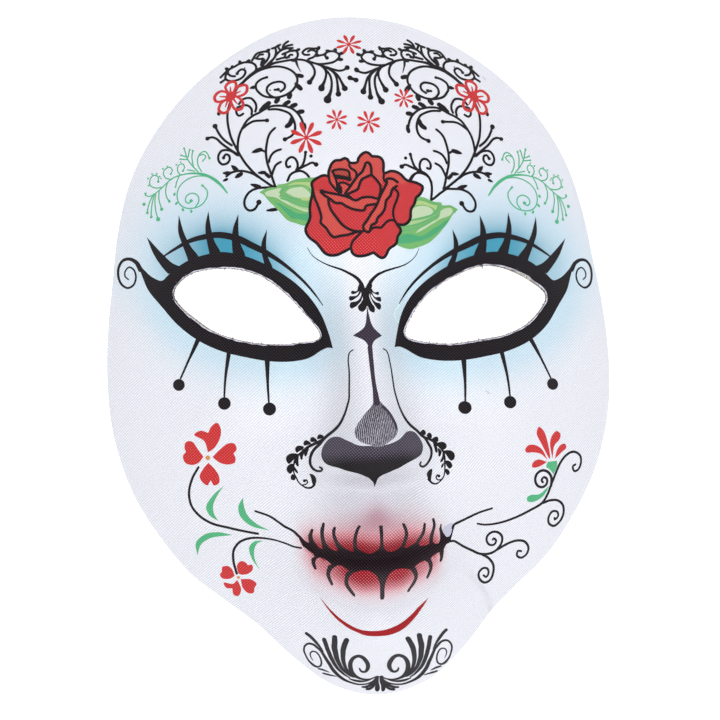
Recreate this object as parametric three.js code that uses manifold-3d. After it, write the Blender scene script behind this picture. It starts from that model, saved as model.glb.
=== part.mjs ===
// Full-face day of the dead mask lying on its back rim, face up.
// A printed stretch cloth is laid over a thin formed shell; both are cut through at the eyes.
// Millimetres. +X is the viewer's right, +Y the top of the forehead, +Z out of the face.
import * as THREE from 'three';
import Module from 'manifold-3d';

// Layer sizes
const clothThickness = 0.4;
const layerGap = 0.4;
const shellThickness = 0.8;
const hemLift = 0.6;

// Relief of the face
const domeDepth = 56;
const domePower = 2.5;
const noseBridgeY = 18;
const noseTipY = -32.5;
const noseLength = 50.5;
const noseRise = 23;
const tipRounding = 6;
const noseBaseY = -43;
const mouthY = -66;
const mouthCornerRise = 7;
const mouthHalfWidth = 27;
const chinY = -97;
const chinRise = 22;
const chinLean = 1.6;
const creaseTop = [29, -66];
const creaseEnd = [44, -90];

// Outline: angle from +X in degrees, distance from the middle
const rimRadii = [
  [-90, 117.5], [-82, 114.6], [-74, 106.9], [-66, 99.4], [-58, 96.2], [-50, 95.1],
  [-40, 92.9], [-30, 91.4], [-15, 88.9], [0, 86.9], [10, 86.9], [20, 88.6],
  [30, 93.1], [40, 98.8], [55, 106.3], [70, 112.7], [80, 116.2], [90, 117.5],
];

// Eye holes, seen from the front
const leftEye = [
  [-62.2, 24.0], [-56.8, 30.2], [-44.5, 31.6], [-35.5, 29.6], [-28.2, 25.2],
  [-20.0, 16.6], [-14.0, 6.8], [-21.5, 5.2], [-32.0, 5.3], [-42.4, 7.6], [-52.6, 12.6],
];
const rightEye = [
  [14.0, 5.8], [16.6, 12.5], [22.2, 19.2], [30.5, 24.3], [41.8, 27.9], [52.2, 25.9],
  [59.2, 21.9], [63.8, 16.6], [57.3, 8.3], [48.7, 4.3], [38.5, 2.8], [27.0, 2.2],
];

// Mesh of the face: rays spread from the nose, rings closer over the nose and lips
const rayCentre = [0, -30];
const rayCount = 48;
const chinCare = 55;
const ringSteps = [
  0.045, 0.085, 0.125, 0.165, 0.2, 0.24, 0.28, 0.32, 0.36, 0.4, 0.44, 0.48,
  0.53, 0.58, 0.64, 0.7, 0.76, 0.82, 0.87, 0.92, 0.965,
];
const eyePoints = 34;

const clamp = (v, lo, hi) => Math.min(hi, Math.max(lo, v));

function smooth(from, to, v) {
  const t = clamp((v - from) / (to - from), 0, 1);
  return t * t * (3 - 2 * t);
}

function bump(x, y, cx, cy, sx, sy) {
  return Math.exp(-(((x - cx) / sx) ** 2) - ((y - cy) / sy) ** 2);
}

function rimSlope(i) {
  if (i === 0 || i === rimRadii.length - 1) return 0;
  const before = rimRadii[i - 1];
  const here = rimRadii[i];
  const after = rimRadii[i + 1];
  const a = here[0] - before[0];
  const b = after[0] - here[0];
  const da = (here[1] - before[1]) / a;
  const db = (after[1] - here[1]) / b;
  return (b * da + a * db) / (a + b);
}

// Radius of the outline in one direction, the same on both sides of the face
function rimRadius(angle) {
  const turn = THREE.MathUtils.euclideanModulo(THREE.MathUtils.radToDeg(angle) - 90 + 180, 360);
  const deg = 90 - Math.abs(turn - 180);
  let i = 0;
  while (i < rimRadii.length - 2 && deg >= rimRadii[i + 1][0]) i += 1;
  const [a0, r0] = rimRadii[i];
  const [a1, r1] = rimRadii[i + 1];
  const h = a1 - a0;
  const t = (deg - a0) / h;
  const s = 1 - t;
  return (1 + 2 * t) * s * s * r0 + t * s * s * h * rimSlope(i)
    + t * t * (3 - 2 * t) * r1 - t * t * s * h * rimSlope(i + 1);
}

function rimShare(x, y) {
  const across = x - chinLean * smooth(-72, -112, y);
  return Math.hypot(across, y) / rimRadius(Math.atan2(y, across));
}

function noseHeight(x, y) {
  const side = Math.abs(x);
  const along = clamp((noseBridgeY - y) / noseLength, 0, 1.3);
  const width = 7 + 5.5 * Math.min(along, 1) ** 1.5;
  const back = 3 + noseRise * along ** 1.2;
  const underside = (noseRise + 10) * smooth(noseBaseY - 2, noseTipY + 3, y);
  const profile = (back + underside - Math.hypot(back - underside, tipRounding)) / 2;
  const ridge = profile * Math.exp(-((side / width) ** 2.4)) * smooth(32, 6, y);
  const ball = 2.5 * bump(x, y, 0, noseTipY, 11, 9);
  const wings = 9 * bump(side, y, 12.5, -34, 5.5, 7) * smooth(noseBaseY - 2, noseBaseY + 6, y);
  return ridge + ball + wings;
}

function mouthHeight(x, y) {
  const side = Math.abs(x);
  const line = mouthY + mouthCornerRise * (side / mouthHalfWidth) ** 2;
  const upper = 4 * Math.exp(-(((y - line - 6) / 5) ** 2)) * smooth(mouthHalfWidth + 2, 14, side);
  const lower = 5.5 * Math.exp(-(((y - line + 8) / 6) ** 2)) * smooth(mouthHalfWidth, 8, side);
  const parting = 3.6 * Math.exp(-(((y - line) / 3) ** 2)) * smooth(mouthHalfWidth + 2, 20, side);
  return upper + lower - parting - 1.2 * bump(x, y, 0, -50, 3, 6);
}

// The moulded fold that runs from the right mouth corner down over the jaw
function jawCrease(x, y) {
  const run = new THREE.Vector2(creaseEnd[0] - creaseTop[0], creaseEnd[1] - creaseTop[1]);
  const length = run.length();
  run.normalize();
  const along = (x - creaseTop[0]) * run.x + (y - creaseTop[1]) * run.y;
  const off = (x - creaseTop[0]) * run.y - (y - creaseTop[1]) * run.x;
  return 1.6 * Math.exp(-((off / 2.6) ** 2)) * smooth(-4, 8, along) * smooth(length + 14, length - 2, along);
}

function faceHeight(x, y) {
  const share = rimShare(x, y);
  const side = Math.abs(x);
  const dome = domeDepth * (1 - Math.min(share, 1.2) ** domePower);
  const brows = 2.5 * bump(side, y, 30, 35, 26, 9);
  const sockets = 8 * bump(side, y, 36, 14, 22, 13) + 6 * bump(side, y, 15, 10, 7, 14);
  const cheeks = 5 * bump(side, y, 44, -20, 20, 15);
  const muzzle = 18 * bump(x, y, 0, -66, 31, 25);
  const chin = chinRise * bump(x, y, 0, chinY, 21, 14) - 3 * bump(x, y, 0, -86, 17, 4.5);
  const relief = brows - sockets + cheeks + muzzle + chin
    + noseHeight(x, y) + mouthHeight(x, y) - jawCrease(x, y);
  return dome + relief * (1 - Math.min(share, 1) ** 7);
}

function faceNormal(x, y) {
  const e = 0.4;
  const dx = (faceHeight(x + e, y) - faceHeight(x - e, y)) / (2 * e);
  const dy = (faceHeight(x, y + e) - faceHeight(x, y - e)) / (2 * e);
  return new THREE.Vector3(-dx, -dy, 1).normalize();
}

// A point of the face, sunk below the outer surface by a depth along the normal
function facePoint(x, y, depth) {
  const normal = faceNormal(x, y);
  return new THREE.Vector3(x, y, faceHeight(x, y)).addScaledVector(normal, -depth);
}

function rayEnds() {
  const points = [];
  for (let deg = -90; deg < 270; deg += 5) {
    const angle = THREE.MathUtils.degToRad(deg);
    const radius = rimRadius(angle);
    const y = radius * Math.sin(angle);
    const x = radius * Math.cos(angle) + chinLean * smooth(-72, -112, y);
    points.push(new THREE.Vector3(x, y, 0));
  }
  const rim = new THREE.CatmullRomCurve3(points, true, 'centripetal').getSpacedPoints(720);
  // Rays stand closer together where the outline turns, as at the chin
  const reach = [0];
  for (let i = 1; i <= 720; i += 1) {
    const before = rim[i].clone().sub(rim[i - 1]);
    const after = rim[(i + 1) % 720].clone().sub(rim[i % 720]);
    const turn = Math.abs(before.angleTo(after));
    reach.push(reach[i - 1] + before.length() + chinCare * turn);
  }
  const chosen = [];
  let i = 0;
  for (let ray = 0; ray < rayCount; ray += 1) {
    while (reach[i] < (ray / rayCount) * reach[720]) i += 1;
    chosen.push(rim[i]);
  }
  return chosen;
}

const ends = rayEnds();

// Where a layer surface comes down to a given height on one ray
function rimPoint(end, depth, level) {
  let near = 0.8;
  let far = 1.06;
  const at = (share) => facePoint(
    rayCentre[0] + (end.x - rayCentre[0]) * share,
    rayCentre[1] + (end.y - rayCentre[1]) * share,
    depth,
  );
  for (let step = 0; step < 40; step += 1) {
    const middle = (near + far) / 2;
    if (at(middle).z > level) near = middle;
    else far = middle;
  }
  const point = at((near + far) / 2);
  point.z = level;
  return point;
}

function surfacePoints(depth, level) {
  const points = [facePoint(rayCentre[0], rayCentre[1], depth)];
  for (const step of ringSteps) {
    for (const end of ends) {
      const x = rayCentre[0] + (end.x - rayCentre[0]) * step;
      const y = rayCentre[1] + (end.y - rayCentre[1]) * step;
      points.push(facePoint(x, y, depth));
    }
  }
  for (const end of ends) points.push(rimPoint(end, depth, level));
  return points;
}

// One closed layer between an outer and an inner surface
function layerMesh(outerDepth, innerDepth, level) {
  const outer = surfacePoints(outerDepth, level);
  const inner = surfacePoints(innerDepth, level);
  const base = outer.length;
  const triangles = [];
  const add = (a, b, c) => {
    triangles.push(a, b, c);
    triangles.push(base + a, base + c, base + b);
  };
  const at = (ring, ray) => 1 + ring * rayCount + (ray % rayCount);
  for (let ray = 0; ray < rayCount; ray += 1) {
    add(0, at(0, ray), at(0, ray + 1));
    for (let ring = 0; ring < ringSteps.length; ring += 1) {
      const a = at(ring, ray);
      const b = at(ring + 1, ray);
      const c = at(ring + 1, ray + 1);
      const d = at(ring, ray + 1);
      const straight = outer[a].distanceTo(outer[c]) <= outer[b].distanceTo(outer[d]);
      if (straight) {
        add(a, b, c);
        add(a, c, d);
      } else {
        add(a, b, d);
        add(b, c, d);
      }
    }
    const last = ringSteps.length;
    const a = at(last, ray);
    const b = at(last, ray + 1);
    triangles.push(a, base + a, base + b);
    triangles.push(a, base + b, b);
  }
  return { points: [...outer, ...inner], triangles };
}

// Straight-sided cutter through the whole depth of the face
function eyeCutter(outline) {
  const curve = new THREE.CatmullRomCurve3(outline.map(([x, y]) => new THREE.Vector3(x, y, 0)), true, 'centripetal');
  let ring = curve.getSpacedPoints(eyePoints).slice(0, eyePoints).map((p) => new THREE.Vector2(p.x, p.y));
  if (THREE.ShapeUtils.area(ring) < 0) ring = ring.reverse();
  const caps = THREE.ShapeUtils.triangulateShape(ring, []);
  const points = [];
  for (const level of [-5, 110]) ring.forEach((p) => points.push(new THREE.Vector3(p.x, p.y, level)));
  const triangles = [];
  caps.forEach(([a, b, c]) => {
    triangles.push(a, c, b);
    triangles.push(eyePoints + a, eyePoints + b, eyePoints + c);
  });
  for (let i = 0; i < eyePoints; i += 1) {
    const j = (i + 1) % eyePoints;
    triangles.push(i, j, eyePoints + j);
    triangles.push(i, eyePoints + j, eyePoints + i);
  }
  return { points, triangles };
}

const wasm = await Module();
wasm.setup();

function solid({ points, triangles }) {
  const vertProperties = new Float32Array(points.length * 3);
  points.forEach((p, i) => p.toArray(vertProperties, i * 3));
  const triVerts = Uint32Array.from(triangles);
  return new wasm.Manifold(new wasm.Mesh({ numProp: 3, vertProperties, triVerts }));
}

const leftCutter = solid(eyeCutter(leftEye));
const rightCutter = solid(eyeCutter(rightEye));

function cutLayer(outerDepth, innerDepth, level) {
  const whole = solid(layerMesh(outerDepth, innerDepth, level));
  const cut = whole.subtract(leftCutter).subtract(rightCutter).getMesh();
  const geometry = new THREE.BufferGeometry();
  const positions = new Float32Array(cut.numVert * 3);
  for (let i = 0; i < cut.numVert; i += 1) {
    for (let k = 0; k < 3; k += 1) positions[i * 3 + k] = cut.vertProperties[i * cut.numProp + k];
  }
  geometry.setAttribute('position', new THREE.BufferAttribute(positions, 3));
  geometry.setIndex(new THREE.BufferAttribute(Uint32Array.from(cut.triVerts), 1));
  geometry.computeVertexNormals();
  return geometry;
}

const clothMaterial = new THREE.MeshStandardMaterial({ color: '#e8e9f2', roughness: 0.85, metalness: 0 });
const shellMaterial = new THREE.MeshStandardMaterial({ color: '#dcd7cb', roughness: 0.6, metalness: 0 });

const shellTop = clothThickness + layerGap;

const cloth = new THREE.Mesh(cutLayer(0, clothThickness, hemLift), clothMaterial);
cloth.name = 'printed_cloth';

const shell = new THREE.Mesh(cutLayer(shellTop, shellTop + shellThickness, 0), shellMaterial);
shell.name = 'backing_shell';

const mask = new THREE.Group();
mask.name = 'day_of_the_dead_mask';
mask.add(shell, cloth);

export default mask;
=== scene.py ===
import math
import time
import bpy
import numpy as np
from mathutils import Matrix, Vector
from mathutils.geometry import delaunay_2d_cdt


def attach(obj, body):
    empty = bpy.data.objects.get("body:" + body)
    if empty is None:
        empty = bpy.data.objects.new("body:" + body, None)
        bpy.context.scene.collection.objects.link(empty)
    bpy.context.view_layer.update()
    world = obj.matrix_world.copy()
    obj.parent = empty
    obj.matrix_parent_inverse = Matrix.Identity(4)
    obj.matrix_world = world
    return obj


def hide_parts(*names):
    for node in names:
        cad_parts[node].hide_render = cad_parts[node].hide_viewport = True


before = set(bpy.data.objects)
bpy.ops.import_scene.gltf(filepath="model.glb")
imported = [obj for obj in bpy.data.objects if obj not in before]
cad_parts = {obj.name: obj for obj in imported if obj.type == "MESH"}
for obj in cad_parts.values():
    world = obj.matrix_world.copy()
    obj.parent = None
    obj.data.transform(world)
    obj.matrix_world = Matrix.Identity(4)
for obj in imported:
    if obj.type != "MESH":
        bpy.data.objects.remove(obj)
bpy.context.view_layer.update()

started = time.time()
mm = 0.001    # drawings and settings are in millimetres, Blender's meshes in metres


def report(text):
    print(f"[{time.time() - started:5.1f} s] {text}")


report("packed frame loaded")

# The face that both layers follow, in millimetres seen from the front
faceForm = {
    "domeDepth": 56.0, "domePower": 2.5, "noseBridgeY": 18.0, "noseTipY": -32.5, "noseLength": 50.5,
    "noseRise": 23.0, "tipRounding": 6.0, "noseBaseY": -43.0, "mouthY": -66.0, "mouthCornerRise": 7.0,
    "mouthHalfWidth": 27.0, "chinY": -97.0, "chinRise": 22.0, "chinLean": 1.6, "creaseTop": (29.0, -66.0),
    "creaseEnd": (44.0, -90.0), "rimCentre": (0.0, -30.0),
    "rimRadii": [(-90, 117.5), (-82, 114.6), (-74, 106.9), (-66, 99.4), (-58, 96.2), (-50, 95.1), (-40, 92.9),
        (-30, 91.4), (-15, 88.9), (0, 86.9), (10, 86.9), (20, 88.6), (30, 93.1), (40, 98.8), (55, 106.3),
        (70, 112.7), (80, 116.2), (90, 117.5)],
    "leftEye": [-62.2, 24.0, -56.8, 30.2, -44.5, 31.6, -35.5, 29.6, -28.2, 25.2, -20.0, 16.6, -14.0, 6.8,
        -21.5, 5.2, -32.0, 5.3, -42.4, 7.6, -52.6, 12.6],
    "rightEye": [14.0, 5.8, 16.6, 12.5, 22.2, 19.2, 30.5, 24.3, 41.8, 27.9, 52.2, 25.9, 59.2, 21.9,
        63.8, 16.6, 57.3, 8.3, 48.7, 4.3, 38.5, 2.8, 27.0, 2.2],
}


def fade(start, end, value):
    share = np.clip((value - start) / (end - start), 0, 1)
    return share * share * (3 - 2 * share)


def bell(value, width, power=2):
    return np.exp(-(value / width) ** power)


def hump(x, y, centreX, centreY, spreadX, spreadY):
    return np.exp(-((x - centreX) / spreadX) ** 2 - ((y - centreY) / spreadY) ** 2)


def rimSlopes(angles, radii):
    steps = np.diff(angles)
    rises = np.diff(radii) / steps
    slopes = np.zeros(len(angles))
    slopes[1:-1] = (steps[1:] * rises[:-1] + steps[:-1] * rises[1:]) / (steps[:-1] + steps[1:])
    return slopes


rimAngles, rimDistances = np.array(faceForm["rimRadii"], float).T
rimTurns = rimSlopes(rimAngles, rimDistances)


def rimRadius(angle):
    folded = 90 - np.abs((np.degrees(angle) - 90 + 180) % 360 - 180)
    i = np.clip(np.searchsorted(rimAngles, folded, side="right") - 1, 0, len(rimAngles) - 2)
    width = rimAngles[i + 1] - rimAngles[i]
    t = (folded - rimAngles[i]) / width
    s = 1 - t
    return ((1 + 2 * t) * s * s * rimDistances[i] + t * s * s * width * rimTurns[i]
            + t * t * (3 - 2 * t) * rimDistances[i + 1] - t * t * s * width * rimTurns[i + 1])


# How far the chin lies to one side of the middle
def chinShift(y):
    return faceForm["chinLean"] * fade(-72, -112, y)


# 0 in the middle of the face and 1 on its rim
def rimShare(x, y):
    across = x - chinShift(y)
    return np.hypot(across, y) / rimRadius(np.arctan2(y, across))


def noseHeight(x, y):
    side, base = np.abs(x), faceForm["noseBaseY"]
    along = np.clip((faceForm["noseBridgeY"] - y) / faceForm["noseLength"], 0, 1.3)
    width = 7 + 5.5 * np.minimum(along, 1) ** 1.5
    back = 3 + faceForm["noseRise"] * along ** 1.2
    under = (faceForm["noseRise"] + 10) * fade(base - 2, faceForm["noseTipY"] + 3, y)
    profile = (back + under - np.hypot(back - under, faceForm["tipRounding"])) / 2
    ridge = profile * bell(side, width, 2.4) * fade(32, 6, y)
    ball = 2.5 * hump(x, y, 0, faceForm["noseTipY"], 11, 9)
    wings = 9 * hump(side, y, 12.5, -34, 5.5, 7) * fade(base - 2, base + 6, y)
    return ridge + ball + wings


def mouthHeight(x, y):
    side = np.abs(x)
    half = faceForm["mouthHalfWidth"]
    line = faceForm["mouthY"] + faceForm["mouthCornerRise"] * (side / half) ** 2
    upper = 4 * bell(y - line - 6, 5) * fade(half + 2, 14, side)
    lower = 5.5 * bell(y - line + 8, 6) * fade(half, 8, side)
    parting = 3.6 * bell(y - line, 3) * fade(half + 2, 20, side)
    return upper + lower - parting - 1.2 * hump(x, y, 0, -50, 3, 6)


def jawCrease(x, y):
    top, end = np.array(faceForm["creaseTop"]), np.array(faceForm["creaseEnd"])
    length = np.linalg.norm(end - top)
    run = (end - top) / length
    along = (x - top[0]) * run[0] + (y - top[1]) * run[1]
    off = (x - top[0]) * run[1] - (y - top[1]) * run[0]
    return 1.6 * bell(off, 2.6) * fade(-4, 8, along) * fade(length + 14, length - 2, along)


def faceHeight(x, y):
    share = rimShare(x, y)
    side = np.abs(x)
    dome = faceForm["domeDepth"] * (1 - np.minimum(share, 1.2) ** faceForm["domePower"])
    brows = 2.5 * hump(side, y, 30, 35, 26, 9)
    sockets = 8 * hump(side, y, 36, 14, 22, 13) + 6 * hump(side, y, 15, 10, 7, 14)
    cheeks = 5 * hump(side, y, 44, -20, 20, 15)
    muzzle = 18 * hump(x, y, 0, -66, 31, 25)
    chin = faceForm["chinRise"] * hump(x, y, 0, faceForm["chinY"], 21, 14)
    chin -= 3 * hump(x, y, 0, -86, 17, 4.5)
    relief = (brows - sockets + cheeks + muzzle + chin
              + noseHeight(x, y) + mouthHeight(x, y) - jawCrease(x, y))
    return dome + relief * (1 - np.minimum(share, 1) ** 7)


def faceSlope(x, y):
    step = 0.2
    return ((faceHeight(x + step, y) - faceHeight(x - step, y)) / (2 * step),
            (faceHeight(x, y + step) - faceHeight(x, y - step)) / (2 * step))


# Height of a surface that lies a depth below the outside of the face
def layerHeight(x, y, depth):
    acrossSlope, upSlope = faceSlope(x, y)
    return faceHeight(x, y) - depth * np.sqrt(1 + acrossSlope ** 2 + upSlope ** 2)


# Moves points along their ray from the middle until the surface comes down to a level
def onRim(points, depth, level):
    centre = np.array(faceForm["rimCentre"])
    reach = points - centre
    near, far = np.full(len(points), 0.8), np.full(len(points), 1.06)
    halvings = 36
    for _ in range(halvings):
        middle = (near + far) / 2
        place = centre + reach * middle[:, None]
        inside = layerHeight(place[:, 0], place[:, 1], depth) > level
        near, far = np.where(inside, middle, near), np.where(inside, far, middle)
    return centre + reach * near[:, None]


def rimLoop(spacing):
    angle = np.radians(np.arange(0, 360, 0.125))
    radius = rimRadius(angle)
    y = radius * np.sin(angle)
    x = radius * np.cos(angle) + chinShift(y)
    return evenlySpaced(np.stack([x, y], 1), spacing)


def evenlySpaced(loop, spacing):
    closed = np.vstack([loop, loop[:1]])
    reach = np.concatenate([[0], np.cumsum(np.linalg.norm(np.diff(closed, axis=0), axis=1))])
    count = max(8, round(reach[-1] / spacing))
    wanted = np.linspace(0, reach[-1], count + 1)[:-1]
    return np.stack([np.interp(wanted, reach, closed[:, k]) for k in range(2)], 1)


# A smooth line through points, with steps no longer than the gap. Here and in every drawing below,
# a path is a list of x and y in turn, in millimetres
def smoothPath(path, closed=False, gap=0.55):
    p = np.array(path, float).reshape(-1, 2)
    if len(p) < 3 and not closed:
        steps = max(1, math.ceil(np.linalg.norm(p[1] - p[0]) / gap))
        return p[0] + (p[1] - p[0]) * (np.arange(steps + 1) / steps)[:, None]
    if closed:
        p = np.vstack([p[-1:], p, p[:2]])
    else:
        p = np.vstack([2 * p[0] - p[1], p, 2 * p[-1] - p[-2]])
    line = []
    for a, b, c, d in zip(p, p[1:], p[2:], p[3:]):
        before, here, after = (max(math.sqrt(np.linalg.norm(v)), 1e-3) for v in (b - a, c - b, d - c))
        leave = ((b - a) / before - (c - a) / (before + here) + (c - b) / here) * here
        arrive = ((c - b) / here - (d - b) / (here + after) + (d - c) / after) * here
        steps = max(1, math.ceil(np.linalg.norm(c - b) / gap))
        t = (np.arange(steps) / steps)[:, None]
        line.append(b * (1 + 2 * t) * (1 - t) ** 2 + leave * t * (1 - t) ** 2
                    + c * t * t * (3 - 2 * t) - arrive * t * t * (1 - t))
    if not closed:
        line.append(p[-2:-1])
    return np.vstack(line)


# Inks of the print, as seen in the photograph; two of them run from an upper to a lower colour, with the
# heights between which they change. The nose pad's turn to near black at its foot is partly painted shade,
# where the pad turns under the nose
printSettings = {
    "inks": {
        "black": (20, 15, 19),
        "mouthBlack": (22, 5, 12),
        "wornBlack": (24, 19, 25),
        "plum": (48, 37, 53),
        "nosePad": ((58, 50, 66), (4, 1, 3), -30.0, -35.5),
        "teardrop": ((50, 42, 54), (60, 55, 64), -15.0, -27.0),
        "smile": (150, 16, 20),
        "flowerRed": (190, 34, 32),
        "flowerEye": (200, 128, 54),
        "roseLight": (186, 56, 44),
        "roseDeep": (180, 22, 23),
        "roseBrown": (156, 54, 42),
        "leafEdge": (101, 164, 90),
        "leafMid": (154, 184, 126),
        "leafLime": (162, 186, 116),
        "leafPale": (178, 196, 162),
        "leafBand": (56, 153, 99),
        "leafVein": (86, 160, 97),
        "scrollGreen": (62, 166, 116),
        "stemGreen": (66, 166, 112),
        "lilac": (184, 184, 202),
        "mint": (200, 232, 230),
        "cutEdge": (212, 210, 226),
    },
    "scrollWidth": 0.85,     # black scrolls on the forehead, mm
    "fineWidth": 0.44,       # green scrolls at the temples, mm
    "roseLine": 0.98,
    "starTurn": 16.5,        # of the small red flowers, degrees
    "cutEdgeWidth": (0.15, 0.85),    # pale edge of the cloth at the eye holes
    # how far the bare threads show through each ink, as a share
    "threadShow": {"black": 0.05, "wornBlack": 0.08, "plum": 0.1, "smile": 0.07,
                   "flowerRed": 0.17, "roseLight": 0.24, "roseDeep": 0.24, "roseBrown": 0.14},
}

# The left drawing seen from the right side of the face: across and up from (x, y, 1), nearer the chin
# first and nearer the forehead second, with the heights between which one becomes the other
mirrors = {
    "forehead": (((-0.9953, 0.0247, 2.48), (0.092, 1.001, -1.17)),
                 ((-0.99, -0.019, 6.77), (0.075, 1.0575, -6.7)), 80, 94),
    "eye": (((-1.0538, 0.057, -1.24), (0.1178, 0.9895, 0.5)),
            ((-1.0113, 0.1136, -3.54), (0.1213, 0.9569, 2.24)), 5, 35),
    "temple": (((-1.043, 0.0537, -1.78), (0.1025, 1.025, -2.6)),) * 2 + (50, 60),
    "chin": (((-1.1235, -0.2057, -21.67), (0.0842, 1.0353, 3.61)),) * 2 + (-110, -90),
}


def mirrored(name):
    (lowAcross, lowUp), (highAcross, highUp), start, end = mirrors[name]

    def place(x, y):
        share = fade(start, end, y)
        return tuple((1 - share) * (a[0] * x + a[1] * y + a[2]) + share * (b[0] * x + b[1] * y + b[2])
                     for a, b in ((lowAcross, highAcross), (lowUp, highUp)))
    return place


# Where a place on the right of the face lies on the left drawing of the eye
def ontoLeftEye(x, y):
    (a, b, c), (d, e, f) = (np.array(v) for v in mirrors["eye"][0])
    across, up = x - c, y - f
    return (e * across - b * up) / (a * e - b * d), (a * up - d * across) / (a * e - b * d)


class PrintedShapes:
    def __init__(self):
        self.points, self.faces, self.inks = [], [], []
        self.place = None

    def face(self, ink, corners):
        corners = [tuple(c) for c in np.reshape(corners, (-1, 2))]
        if self.place:
            corners = [self.place(*c) for c in corners]
        turn = sum(a[0] * b[1] - a[1] * b[0] for a, b in zip(corners, corners[1:] + corners[:1]))
        longest = max(math.dist(a, b) for a, b in zip(corners, corners[1:] + corners[:1]))
        if abs(turn) < 0.01 * longest:
            return
        if turn < 0:
            corners.reverse()
        self.faces.append(list(range(len(self.points), len(self.points) + len(corners))))
        self.points += corners
        self.inks.append(ink)

    # A filled shape whose sides are smooth between the corners where two parts meet
    def area(self, ink, *parts, gap=0.6):
        outline = []
        for part, after in zip(parts, parts[1:] + parts[:1]):
            outline += list(smoothPath(list(part) + list(after[:2]), gap=gap)[:-1])
        self.face(ink, outline)

    def blob(self, ink, outline, gap=0.5):
        self.face(ink, smoothPath(outline, closed=True, gap=gap))

    # A line with a width that changes along it
    def stroke(self, ink, path, widths, gap=0.55):
        line = smoothPath(path, gap=gap)
        reach = np.concatenate([[0], np.cumsum(np.linalg.norm(np.diff(line, axis=0), axis=1))])
        widths = np.atleast_1d(np.array(widths, float))
        width = np.interp(reach / reach[-1], np.linspace(0, 1, len(widths)), widths)
        along = np.gradient(line, axis=0)
        along /= np.linalg.norm(along, axis=1)[:, None]
        side = np.stack([-along[:, 1], along[:, 0]], 1) * width[:, None] / 2
        left, right = line + side, line - side
        for i in range(len(line) - 1):
            self.face(ink, [left[i], right[i], right[i + 1]])
            self.face(ink, [left[i], right[i + 1], left[i + 1]])
        for i in (0, -1):
            if width[i] > 0.3:
                self.dot(ink, line[i][0], line[i][1], width[i] / 2)

    # Several lines of one width, each ending in a dot where a radius is given, and swelling to a large one
    def scrolls(self, ink, width, lines):
        for path, end in lines:
            self.stroke(ink, path, (width, width, width, max(width, end * 1.35)) if end > 0.9 else width)
            if end:
                self.dot(ink, *path[-2:], end)

    # A leaf from its root to its tip, widest in the middle
    def leaf(self, ink, path, width):
        self.stroke(ink, path, (width * 0.7, width * 1.45, width * 1.3), gap=0.3)

    def dot(self, ink, x, y, radius, stretch=1.0, turn=0.0):
        count = max(8, int(radius * 9) + 7)
        c, s = math.cos(math.radians(turn)), math.sin(math.radians(turn))
        corners = []
        for i in range(count):
            angle = 2 * math.pi * i / count
            across, along = radius * stretch * math.cos(angle), radius * math.sin(angle)
            corners.append((x + across * c - along * s, y + across * s + along * c))
        self.face(ink, corners)

    # Eight pointed petals round a small middle
    def star(self, ink, x, y, radius, tall):
        half = [(0.05, 0.02), (0.3, 0.065), (0.55, 0.12), (0.78, 0.13), (0.93, 0.08), (1, 0.0)]
        petal = half + [(out, -side) for out, side in half[-2::-1]]
        for k in range(8):
            angle = math.radians(printSettings["starTurn"] + 45 * k)
            c, s = math.cos(angle), math.sin(angle)
            self.face(ink, [(x + radius * (out * c - side * s), y + radius * tall * (out * s + side * c))
                            for out, side in petal])
        self.dot(ink, x, y, radius * 0.14)

    # The same drawing on both sides of the face
    def pair(self, draw, across):
        draw(self)
        self.place = across
        draw(self)
        self.place = None


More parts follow.
